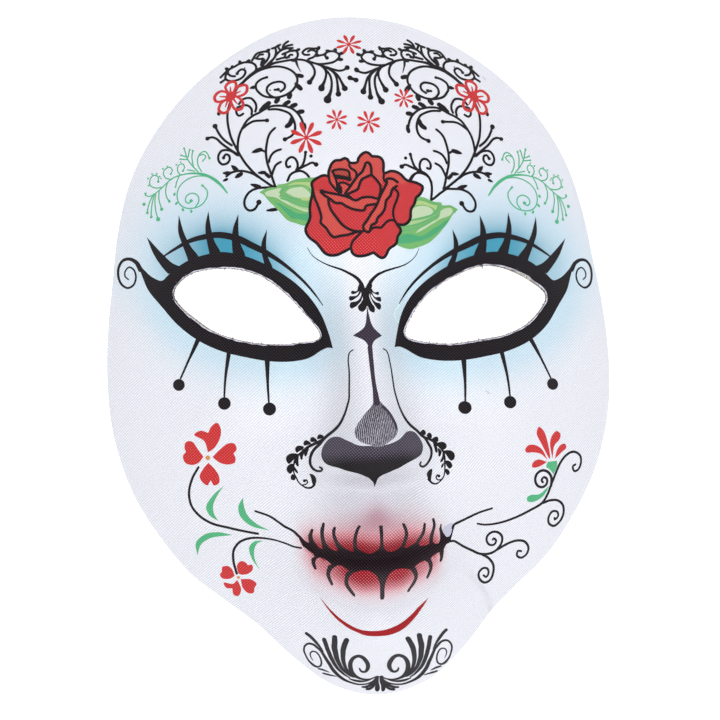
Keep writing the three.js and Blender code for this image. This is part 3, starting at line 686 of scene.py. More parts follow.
def drawRightCheek(p):
    scrolls = [
        ([35.3, -58.4, 38, -59, 43, -58.9, 49, -57.6, 54.5, -55.6, 59, -53.5, 61, -50.8, 62.5, -47.3,
         64.2, -43.5, 66, -40, 68.5, -37.5, 71.3, -36.8, 73.6, -38.3, 74, -40.8, 72.8, -43.2, 71.3, -43.5,
         70.8, -41.8, 71.8, -41.3], (0.6, 0.8, 0.8, 0.7)),
        ([62.4, -47.8, 62.5, -45, 61.3, -43, 59, -42.2, 57, -43.3, 56.4, -45.3, 57.3, -47.3, 59.2, -48,
         60.7, -47, 60.8, -45.3, 59.6, -44.6, 58.8, -45.6, 59.3, -46.3], (0.9, 0.75)),
        ([59.5, -53.5, 62, -52.9, 65, -53.2, 67, -55, 67.4, -57.8, 66.2, -60.5, 63.8, -62.1, 61.8, -61,
         61.6, -58.8, 63, -56.9, 64.9, -57.2, 65.3, -58.8, 64, -59.9, 63.9, -59.3], (0.8, 0.8, 0.7)),
        ([25, -63.4, 26.6, -63.4, 28, -64.2, 30, -65.6, 33.5, -67.6, 36.2, -69, 40, -69.3, 43.5, -67.8,
         47, -66.3, 50, -65.8, 52.7, -66.5, 54.2, -68.8, 53.5, -71.2, 51.5, -72.2, 50, -71.2, 50.3, -69.6,
         51.5, -69.8], (0.7, 0.8, 0.8, 0.7)),
        ([42.5, -68.2, 44, -66.3, 44.3, -64, 43, -62.3, 40.9, -61.8, 39, -62.8, 38.6, -64.6, 39.7, -66.2,
         41.4, -66.3, 42.1, -65, 41.2, -64.1, 40.9, -64.5], (0.8, 0.7)),
        ([37, -69.3, 39.5, -71, 41.2, -73.5, 41.3, -76.5, 40.2, -79, 38.3, -79.7, 36.4, -78.2, 36, -76,
         37.3, -74.4, 39, -74.6, 39.6, -76.3, 38.8, -77.7, 37.8, -77], (0.8, 0.8, 0.7)),
    ]
    for path, widths in scrolls:
        p.stroke("black", path, np.array(widths) * 1.12)
    petals = [
        [61.7, -38.5, 59, -33.5, 57, -29.3, 57.8, -27.2, 59.6, -28.6, 61.2, -33, 62, -38],
        [62.9, -38.5, 62, -33, 62.8, -30.5, 64.5, -29.1, 66, -30.2, 65.7, -32, 63.7, -34],
        [63.8, -38.7, 64.5, -36, 66, -34, 67.8, -33.8, 68.2, -35.2, 66.5, -36.5],
        [61, -38.7, 58.5, -36.5, 55.5, -35.7, 53.3, -35.6, 52.7, -34.7, 53.8, -33.2, 56.5, -33.3, 59, -35],
        [60.8, -39.4, 58.5, -40.6, 56, -41, 55.2, -40.6, 55.8, -39, 57.7, -38.3],
    ]
    for outline in petals:
        p.area("flowerRed", outline, gap=0.5)
    p.area("stemGreen", [61.2, -39.4], [64.6, -39.3, 64.7, -41], [63.3, -44, 62, -42.2, 60.5, -41])
    p.blob("stemGreen", [53.4, -51, 54.8, -50.3, 58, -50.3, 61.5, -47.9, 60, -50.6, 57.5, -52.3, 55, -52.8,
        53.5, -52.3])


def drawOutlinedFlower(p):
    petals = [
        ([-39.6, 91.9, -40.1, 92.6, -40.4, 93.3, -40.6, 94.2, -40, 95.1, -39.1, 95.7, -38.1, 95.9,
         -37.2, 95.6, -36.9, 94.9, -37, 94, -37.4, 93.1, -37.9, 91.9], [-39, 92, -38.9, 93.9]),
        ([-37.8, 92.2, -36.4, 93.8, -35.6, 94, -34.7, 94.2, -33.8, 94.2, -33.3, 93.6, -33.3, 92.7,
         -33.5, 91.9, -34.2, 91, -35.1, 90.6, -36.2, 90.3, -37.5, 90.3], [-37.2, 91.5, -35.6, 92.1]),
        ([-37.3, 90.5, -35.9, 89.4, -35.2, 88.4, -35, 87.4, -35.2, 86.5, -35.7, 85.8, -36.5, 85.5,
         -37.4, 85.6, -38.1, 86.1, -38.5, 86.9, -38.8, 87.9, -39, 89], [-38, 89.3, -37, 87.7]),
        ([-39.1, 88.2, -39.6, 86.4, -40.1, 85.6, -40.8, 85, -41.8, 84.8, -42.5, 85.1, -43.1, 85.7,
         -43.3, 86.4, -43, 87.4, -42.4, 88.4, -41.6, 89, -40.5, 89.6], [-40.2, 89, -41, 87]),
        ([-40, 92, -41.2, 92.6, -41.9, 92.8, -42.9, 92.6, -43.7, 92, -44.3, 91.3, -44.5, 90.4, -44.2, 89.5,
         -43.6, 89.1, -42.7, 89, -41.9, 89.2, -40.5, 89.6], [-40.2, 90.5, -42.6, 90.9]),
    ]
    for loop, middle in petals:
        p.stroke("flowerRed", loop, (0.8, 0.9, 1.0, 1.1, 1.0, 0.9, 0.8))
        p.stroke("flowerRed", middle, (0.8, 0.6, 0.45))
    p.blob("flowerRed", [-40.4, 92.1, -39.2, 92.2, -38, 92.3, -37.2, 91.8, -37, 90.9, -37.2, 90.1,
        -38.4, 89.2, -39.1, 88.2, -39.7, 88.5, -40.2, 89.1, -40.8, 89.6, -40.5, 91.1])


# Black scrolls beside the outlined flower, with the radius of the dot that each ends in
upperScrolls = [
    ([-31, 98, -28.8, 99, -26.2, 99.7, -23.1, 100, -20.7, 99.5, -18.3, 98.3, -16.8, 96.7, -16.2, 94.7,
     -16.7, 92.8, -18, 90.9, -20.2, 89.5, -22.5, 88.8, -25, 88.8, -27.9, 89.6, -29.4, 91, -30.3, 92.6,
     -30.1, 94.3, -29.1, 95.3, -27.7, 96, -26.4, 96.3], 0.55),
    ([-24.4, 88.8, -25.6, 89.5, -26.7, 91.1, -26.4, 92.8, -25, 93.9, -23.2, 94.3, -21.7, 94.2, -20.6, 93.2,
     -20.8, 91.7, -22.2, 90.7], 0),
    ([-24.1, 91.5, -22.9, 91.5], 0.65),
    ([-30.2, 98.3, -29.7, 100.5, -30.5, 101.8, -32.8, 102.6, -35.1, 102.3, -37, 101.4, -38.8, 100.6,
     -39.9, 99, -40.4, 97.4, -39.2, 96.3, -37.1, 96.2, -35.1, 96.8, -33.7, 98.2, -33.5, 99.4, -34.5, 100.1,
     -35.8, 99.5, -36.3, 98.7], 0.6),
    ([-37.1, 97.8, -38.5, 98.1, -39.4, 99.2, -39.2, 100.2, -38.4, 100.8], 0), ([-39.9, 99.9, -42, 97.9], 0),
    ([-40.3, 97.1, -42.1, 96], 0),
    ([-27.7, 100.7, -26, 102.4, -25.1, 104, -25.1, 105.5, -26.3, 105.9, -28.4, 105.7, -29.4, 105.2,
     -31, 102.9], 0),
    ([-27.3, 102.7, -27, 103.3, -28.5, 103.3, -30.1, 103.9], 0),
    ([-29, 104.2, -28.2, 104.9, -27.1, 104.9], 0),
    ([-26, 100.8, -23.6, 103, -22.5, 104.4, -20.9, 105.8, -18.9, 106.4, -16.9, 106.4], 0),
    ([-24.5, 101.9, -23.2, 103.5, -22.7, 104.9, -22.6, 106.2, -22.8, 107], 0),
    ([-23.9, 106.8, -22.8, 107.1, -21.8, 107.6, -21, 108], 0),
    ([-21.1, 105.9, -21.6, 106.8, -21.9, 107.7], 0),
    ([-20.4, 106, -19.9, 107.6, -19.1, 108.5, -18.2, 109], 0),
    ([-20.2, 106.4, -18.8, 107.3, -16.9, 107.6], 0), ([-18, 106, -16.8, 105.2], 0),
    ([-16.9, 101.8, -15.7, 102.7, -15.3, 104.1, -16, 105.3, -17.7, 105.3, -19.3, 104.8, -20.5, 104.3], 0),
    ([-17.2, 103.8, -17.9, 103.9, -18.5, 103.3, -19.2, 102.8, -19.8, 103.2, -19.5, 104.2], 0),
    ([-22.6, 102.5, -20.2, 103, -18.4, 103], 0), ([-11.9, 101.8, -10, 102.5, -9, 103.7, -8.5, 105.6], 0),
    ([-8.2, 105.6, -9.9, 105.6, -11.6, 105.8, -12.9, 105.3, -13.7, 104.3, -13, 103.5, -11.5, 103.4], 0),
    ([-11.8, 104.6, -10.9, 105.1, -9.8, 104.9, -9, 104.2], 0),
    ([-9, 102.7, -7.7, 102.9, -6.3, 103.2, -5.7, 103.8], 0),
    ([-12.3, 101.2, -9, 99.8, -5.9, 99.7, -3.6, 100.1, -2.1, 101, -1.3, 102.3, -1.9, 103.4, -3.2, 104.1,
     -4.8, 104.1, -5.9, 103.5, -6.1, 102.4, -5.6, 101.8], 0.7),
    ([-13, 101.4, -11.2, 100, -10.2, 97.7, -10.3, 96, -11.4, 94.3, -12.2, 93.3], 0.95),
    ([-9, 99.7, -7.4, 98.9, -5.8, 98.3, -3.8, 97.4, -1.8, 96.8, -0.2, 97.1, 0.9, 97.8], 0.9),
    ([-7.8, 99.1, -6.6, 97.5, -6.4, 95.7, -7.1, 93.5, -8.3, 91.2], 1.05),
    ([-6.5, 97.7, -5.1, 95.2, -4.8, 92.7, -5.3, 89.7, -6.6, 87], 1.2),
    ([-5.8, 98.1, -3.9, 96.4, -3.1, 94.6, -2.9, 92.4, -2.9, 88.4], 1.0),
    ([-4.5, 97.2, -2.6, 95.2, -1.5, 92.7, -0.6, 90.3], 1.05),
]
# Black scrolls between the outlined flower and the rose
lowerScrolls = [
    ([-39.4, 88.2, -40.2, 85.8, -40.5, 84, -40.6, 82, -40.4, 79.3, -39.8, 76, -38.7, 73, -37.6, 70.5,
     -35.8, 66.9, -33.7, 63.9, -31.6, 61.6, -29.3, 59.6, -27.4, 58.1, -26.3, 57.5], 0),
    ([-37.8, 70, -37.7, 73.1, -37, 76.3, -35.5, 79.3, -33.8, 81.6, -31.7, 83, -29.6, 83.9, -27.5, 85,
     -25.5, 85.7, -23.2, 85.7, -21, 85.3, -18.8, 84.3, -17.1, 82.6, -16, 80.6, -15.3, 78.2], 0),
    ([-26.6, 84.6, -24, 84.5, -21.6, 83.7, -19.7, 82.5, -18.6, 80.3, -18.2, 78.4, -18.5, 76.3, -19.5, 74.8,
     -21.9, 73.7], 0.8),
    ([-35.5, 78.8, -33.9, 80, -31.9, 80.9, -29.3, 80.9, -27.4, 80.8], 0.75),
    ([-31.1, 84.3, -30.7, 85.5, -30.7, 86.8, -31.2, 88, -32.1, 89.1, -33.2, 89.4, -34.3, 89.3, -35.3, 88.9,
     -36.4, 87.5], 0),
    ([-32.4, 83.4, -32.2, 84.7, -32.5, 85.7, -33.2, 86.5, -34.2, 86.9, -35.2, 86.8, -37, 86.4], 0),
    ([-37.5, 85.6, -37.3, 84, -36.6, 83.3, -35.9, 83.5, -35.2, 83.9], 0.4),
    ([-39.7, 73.1, -41.8, 74.9, -43.5, 77.2, -44.9, 80.4], 0.9),
    ([-37.6, 69.4, -40.5, 71.8, -42.9, 73.9, -44.8, 76, -46.3, 76.6, -47.7, 76.3], 0.75),
    ([-38.1, 69.5, -39.8, 71, -41.5, 71.6, -43.2, 71.5, -44.3, 70.1, -44.4, 68.2, -43.3, 66.8, -41.8, 66.9,
     -40.7, 68.1, -40.9, 69.7, -41.9, 70.1, -42.7, 69], 0.6),
    ([-31.6, 61.4, -33, 62.5, -35.2, 63.5, -37.7, 64, -40.2, 63.7, -42.1, 62.5], 0),
    ([-26.1, 57.5, -26.7, 59.7, -27.5, 62.9, -28.3, 66.1, -28.5, 69.5, -28.1, 72.3, -27.2, 75.4, -26.1, 76.9,
     -24.9, 77.9], 0),
    ([-27.7, 66.3, -27.2, 67.8, -26.1, 69.3, -24.8, 70, -23.5, 70.3], 0),
    ([-27.2, 61.3, -26.2, 63.8, -25.4, 65.1, -23.8, 66], 0),
    ([-31.9, 52.8, -32.5, 51.8, -33.3, 50.7, -34.5, 50.2, -35.7, 50.5, -36.6, 51.8, -36.6, 53.8, -35.3, 56,
     -34.1, 56.9, -31.9, 57.6, -29.4, 57.6, -25.9, 57.5], 0),
    ([-22, 59.4, -20.9, 61.4, -19.1, 62.3, -17.3, 62.4, -15.6, 61.3, -14.6, 59.7], 0),
    ([-19.1, 62.3, -18.3, 64.3, -18.6, 66.1, -19.5, 67.2, -20.7, 67.3, -21.8, 66.3, -22.1, 65.1, -21.7, 64,
     -20.9, 64.2], 0.5),
    ([-18, 63.2, -16.7, 64.4, -15.8, 66.7, -15.4, 68.7], 0.6),
    ([-17.5, 63.4, -15.4, 64.3, -13.4, 65, -12.2, 64.3], 0.8),
]
# Leaves on those scrolls: their path from root to tip and their width
scrollLeaves = [
    (-15.9, 105.1, -14.8, 105.7, 0.8), (-8.5, 104.9, -8, 105.9, 0.9), (-5.7, 104.6, -4.5, 104.2, 0.8),
    (-2.8, 104.2, -2.5, 104.7, 1.0), (-1.5, 102.9, -0.1, 103.3, 0.9), (-1.9, 100.8, -0.7, 100.9, 0.9),
    (-9.6, 102.6, -8.7, 103.2, 0.8), (-16.6, 96.3, -14.6, 95.7, 1.1), (-17, 93.2, -15.4, 91.2, 1.2),
    (-18.9, 90.2, -19.4, 88.5, 1.3), (-22.7, 88.7, -23.9, 87.2, 1.2), (-35.1, 102.2, -35.1, 103, 0.9),
    (-33, 102.4, -32, 103.1, 0.9), (-39.2, 100.4, -39.8, 100.9, 1.0), (-37.8, 100.9, -37.8, 101.5, 0.9),
    (-26, 105.8, -25, 106.4, 0.9), (-28.1, 100.9, -27, 102.8, 1.0), (-32.2, 92.9, -30.6, 93.2, 0.9),
    (-29.5, 84.6, -26.4, 86.9, 1.25), (-21.8, 85.7, -19.7, 86.8, 1.1), (-19.6, 84.9, -17.5, 85.6, 1.15),
    (-17.2, 82.9, -15.4, 83, 1.2), (-32.9, 70.1, -30.2, 70.8, 1.1), (-30.2, 70.8, -28.8, 69.9, 0.6),
    (-34, 59, -31.4, 58, 1.0), (-29.4, 49.8, -26.3, 50, 0.85), (-31.4, 62.8, -29.4, 62.8, 0.9),
    (-29.6, 62.9, -28, 61.2, 0.9), (-43, 63.7, -41, 63.5, 1.0), (-40, 65.9, -38.6, 64.4, 1.1),
    (-39, 61.9, -37.2, 62.9, 1.1), (-43.2, 61, -42, 61.5, 0.7), (-43.5, 85.4, -43.4, 84.6, 0.9),
    (-14.9, 78.6, -15.3, 76.6, 1.0),
]


def drawForeheadScroll(p):
    w = printSettings["scrollWidth"]
    p.stroke("black", [-37.5, 91.9, -36.6, 93.3, -36, 94.1, -34.6, 95.2, -33.3, 96.4, -32, 97.4, -30.7, 98.3,
        -28.8, 99.5, -26.7, 100.2, -23.5, 101.3, -20.3, 101.7, -17.2, 102, -14.6, 101.8, -12.3, 101.2], (0.7,
        1.1, 1.3, 1.2, w, w, w))
    p.scrolls("black", w, upperScrolls + lowerScrolls)
    for *path, width in scrollLeaves:
        p.leaf("black", path, width)
    p.blob("black", [-19, 81.8, -18.4, 80.4, -19.7, 78, -21.4, 77.5, -21.7, 78.4, -20.4, 79.7, -19.8, 81])
    p.stroke("black", [-17.3, 101.5, -16.3, 101.5, -15.8, 99.7, -14.9, 97.3], (0.9, 0.9, 0.5, 0.25))
    for x, y, r in ((-45, 80.8, 0.5), (-31.9, 52.8, 0.9), (-13.7, 67.3, 0.6), (-33.6, 100.5, 0.3)):
        p.dot("black", x, y, r)


def drawForehead(p):
    p.pair(drawForeheadScroll, mirrored("forehead"))
    p.pair(drawOutlinedFlower, mirrored("forehead"))
    p.stroke("black", [1.5, 94, 3.5, 93.1], (1.8, 1.0, 1.8), gap=0.4)
    for x, y, r, tall in (
            (2.3, 106.4, 4.7, 0.82), (-4.2, 79.4, 3.8, 1.0), (6.4, 78, 4.2, 1.0), (-14.8, 73.8, 5.7, 1.04),
            (19.1, 85.9, 3.6, 1.0)):
        p.star("flowerRed", x, y, r, tall=tall)


def drawTempleScroll(p):
    w = printSettings["fineWidth"]
    ink = "scrollGreen"
    p.stroke(ink, [-42.2, 56.8, -44, 59.5, -46.5, 62, -49.5, 63.8, -53, 64.6, -57, 64.5, -60.3, 63.6,
        -62.3, 62.2, -64.3, 60.5, -66.5, 59, -68.5, 58.2, -70, 58.8], (0.5, 1.1, 0.9, 0.5, 0.45, 0.4, 0.4))
    vines = [
        [-45.5, 61.5, -48.5, 63, -52, 63.5, -55.5, 62.6, -58, 60.5, -59, 57.8, -58.6, 55, -57, 53.2,
         -54.5, 52.6, -51.5, 53.2, -49.3, 55.3, -48.8, 58, -50.2, 60],
        [-53, 53, -51.8, 54.8, -52.1, 56.8, -53.9, 57.8, -55.8, 57, -56.3, 55.4, -55.3, 54.4, -54.4, 55.1],
        [-62, 62.3, -62.8, 60, -62.6, 57.3, -61.9, 56], [-65, 60, -65.3, 57, -64.7, 54],
        [-66.3, 59, -66.7, 56, -66.5, 52.5, -66, 50.6], [-66.8, 58.7, -67.7, 55.5, -68.2, 52.3, -68.2, 51],
        [-67.3, 58.5, -68.6, 56, -69.4, 53.5, -69.5, 52.6],
        [-63.8, 60.9, -66.3, 60.9, -68, 62, -68, 64, -66.7, 65.4, -65.2, 64.7, -65.2, 63],
        [-60.5, 63.3, -62.5, 63.9, -63.3, 65.5, -62.7, 67, -61, 67.6, -60.2, 66.4, -60.8, 65.2],
        [-57.5, 64.5, -58.4, 66, -58, 67.9, -56.6, 68.3, -56, 67, -56.6, 65.8],
        [-51.5, 65, -53.5, 67.5, -54.9, 70, -55.4, 72, -55.8, 73.7], [-55.2, 70.6, -57, 71.4],
        [-54.8, 69.6, -57.2, 70], [-54.6, 70.4, -54, 73], [-53, 67, -53.3, 70.5, -52.9, 72.5],
        [-52.5, 65.3, -55, 66],
        [-50.3, 65, -51.3, 67, -51.4, 69.5, -50.5, 71.2, -49, 71.9, -48, 71, -47.5, 69.4],
        [-51, 70.5, -49.5, 70.9, -48.6, 70, -49.8, 68.5], [-58, 64, -59, 62, -59.3, 60.6],
    ]
    for path in vines:
        p.stroke(ink, path, w)
    for x, y, r in (
            (-69.8, 59.3, 0.45), (-50.3, 60.1, 0.45), (-54.4, 55.2, 0.6), (-61.8, 55.8, 0.5),
            (-64.5, 53.3, 0.6), (-65.9, 50, 0.75), (-68.2, 51, 0.5), (-69.5, 52.6, 0.5), (-70.5, 55.7, 0.6),
            (-65.2, 63, 0.45), (-60.8, 65.2, 0.4), (-56.6, 65.8, 0.4), (-55.8, 73.7, 0.4), (-57, 71.4, 0.35),
            (-57.3, 70, 0.35), (-53.9, 73, 0.35), (-52.9, 72.5, 0.4), (-47.4, 69.3, 0.45),
            (-59.4, 60.5, 0.35), (-68.7, 64.5, 0.35), (-67.2, 65.9, 0.35), (-65.6, 65.8, 0.35),
            (-64.6, 64.7, 0.3), (-68.6, 62, 0.35), (-63.4, 67.3, 0.35), (-61.8, 68, 0.3), (-64.2, 64, 0.3),
            (-58.7, 68.2, 0.35), (-57.2, 69, 0.3)):
        p.dot(ink, x, y, r)
    for x, y, turn in ((-59.9, 58, 70), (-59.4, 54.8, 50), (-57.3, 52.4, 110), (-54.5, 51.6, 90)):
        p.dot(ink, x, y, 0.42, 1.5, turn)


def drawLeaves(p):
    # left of the rose
    p.area("leafEdge", [-31.6, 56.2, -30, 57, -28.1, 57.5], [-25.7, 57.4, -25.5, 58.2, -24.1, 58.4,
        -22.5, 58.6, -19.9, 59.6, -17, 59.9], [-12, 60], [-13, 45, -17.1, 43.9, -18.1, 44, -20, 44.8,
        -21.9, 45.5, -23.2, 46.3, -24.2, 47.6, -26.4, 50.4, -28.9, 53.3, -30, 55])
    p.area("leafLime", [-22.8, 57.1, -21.6, 58, -20.4, 58.5, -18.5, 58.7, -15.8, 58.5], [-12, 58],
        [-14.2, 56.3, -14.8, 55.9, -15.7, 56.6, -17.4, 57.3, -19.3, 57.4, -21.3, 57])
    p.area("leafPale", [-29.8, 55.9, -28.1, 56.6, -26.5, 56.8, -25, 57.1], [-24.2, 57, -24.6, 56, -24.8, 55,
        -24.6, 54], [-23.1, 53.1, -21.6, 52, -20.1, 50.9, -17.9, 49.8], [-14, 48.6, -16.4, 48.5, -19.3, 49.7,
        -21.7, 51, -23.5, 52.1, -26.3, 54, -29.2, 54.8])
    p.area("leafPale", [-22.9, 55.5, -21.7, 56.5, -20.5, 56.8, -19, 57, -17.2, 56.9, -15.4, 55.4],
        [-14.5, 54], [-15.5, 53, -17.1, 53, -18.8, 53.5, -20.3, 53.9, -21.4, 54.6])
    p.area("leafLime", [-22.3, 54.7, -20.3, 53.9, -18.8, 53.5, -14, 52.9], [-14, 52, -18, 52.6, -21, 53.7])
    p.area("leafMid", [-22.5, 52.7, -19, 50.9, -15.5, 49.6], [-14, 48.6, -18, 49.6, -21.6, 51.4])
    p.area("leafBand", [-27.2, 53.2, -25.9, 52.2, -24.5, 51.6, -23.3, 50.6, -21.8, 49.7, -20.3, 48.5,
        -18.4, 48], [-12, 47.7], [-12, 45.3, -15.9, 45.4, -17.6, 45.7, -19.5, 46.3, -21.2, 46.5, -22.3, 47.5,
        -23.7, 49.2, -25.2, 50.9])
    for path, widths in (
            ([-24.6, 55.6, -23.6, 56.6, -22, 57.3, -20.1, 57.6, -17.8, 57.6, -15.7, 57, -14.4, 55.7],
             (0.9, 0.6, 0.4, 0.4)),
            ([-25, 54.3, -23.4, 54.5, -21.9, 54, -20, 53.3, -18.1, 52.8], (0.5, 0.7, 0.5)),
            ([-24.6, 53.6, -22.7, 52.9, -20.8, 52, -19, 51.1, -17.5, 50.4, -15, 50], (0.5, 0.8, 0.5)),
            ([-23, 54.1, -21.2, 53.2, -19.1, 52.4, -17.6, 51.6, -15, 51.2], (0.3, 0.5, 0.5))):
        p.stroke("leafVein", path, widths)
    # right of the rose
    p.area("leafEdge", [34.2, 46.7, 32.7, 47.7, 31.6, 48.3, 30.1, 48.3], [28.7, 48.4, 28.6, 49.3, 26.6, 49.6,
        25.5, 50, 24.2, 50.6, 23.1, 51.2, 21.8, 51.5], [14, 50], [12, 36, 13.9, 35, 15.8, 34.3, 17.3, 34.1,
        19.1, 34.5, 20.9, 35, 23.2, 35.9, 24.8, 37, 26.5, 38.5, 28, 40, 29.4, 41.5, 30.7, 43, 31.8, 44.6,
        33, 45.9])
    p.area("leafLime", [18, 49.8, 20.1, 50, 22.2, 50.5, 24.3, 49.7, 26.1, 48.9], [27.8, 48.1, 27.7, 46.6],
        [26.7, 46.3, 25.7, 47.5, 23.8, 48.4, 22, 48.9, 18, 48.8])
    p.area("leafPale", [15, 47.5, 18.6, 47.8, 20.7, 48.4, 22.9, 48.4, 24.8, 47.6], [25.6, 46.6, 25.1, 45.7,
        23.3, 45.1, 21.2, 44.7, 18.2, 44.2], [15, 44])
    p.area("leafPale", [28.1, 46.5, 29.7, 47.3, 32, 47.2], [32.2, 46.1, 31.3, 45, 29.7, 44.3, 27.9, 43.8,
        26, 42.8, 23.6, 41.5, 21.7, 40.4], [19, 39.3, 20.4, 40.7, 22.8, 41.8, 25.1, 43, 27, 43.9, 27.6, 44.9])
    p.area("leafMid", [15, 43.4, 18, 43.7, 21.6, 44.2, 26, 45.4], [26.5, 44.8, 23, 43.4, 19, 42.3, 15, 41.8])
    p.area("leafBand", [10, 39, 13.3, 37.8, 14.6, 39, 16.8, 39.3, 19.4, 38.5, 21.1, 38.3, 23.4, 39.5,
        25.3, 40.8, 27.2, 41.6, 29.4, 43.1], [30.8, 43.7, 29.5, 41.7, 28, 40.5, 25.6, 38.8, 23.3, 37.5,
        21, 36.8, 17.9, 36.3, 15, 36.1], [10, 36.3])
    for path, widths in (
            ([20.9, 50.6, 23, 50.1, 25, 49.2, 27.2, 48.7], (0.4, 0.4, 0.7)),
            ([27.7, 48, 27, 46.6, 25.1, 45.2, 21.6, 44.2, 16, 43.6], (1.2, 0.8, 0.5, 0.5)),
            ([27.3, 45, 25, 44.2, 21.5, 42.8, 18.1, 42, 14.8, 41.7], (0.8, 0.7, 0.5)),
            ([25.2, 43.6, 23.3, 42.6, 21, 41.5, 18, 40.8, 14.7, 40.4], (0.3, 0.6, 0.6))):
        p.stroke("leafVein", path, widths)
    # stalks that run on from the scroll on the right of the rose
    for path in (
            [18.9, 57.4, 20.5, 59.4, 22.9, 60, 25, 58.2, 25.8, 55.5, 25.7, 53.2, 25.2, 50.5],
            [25.3, 50.4, 26.2, 50.8, 28.1, 52.2, 30.3, 53.6, 32, 55]):
        p.stroke("black", path, printSettings["scrollWidth"])


def backwards(path):
    return list(np.reshape(path, (-1, 2))[::-1].reshape(-1))


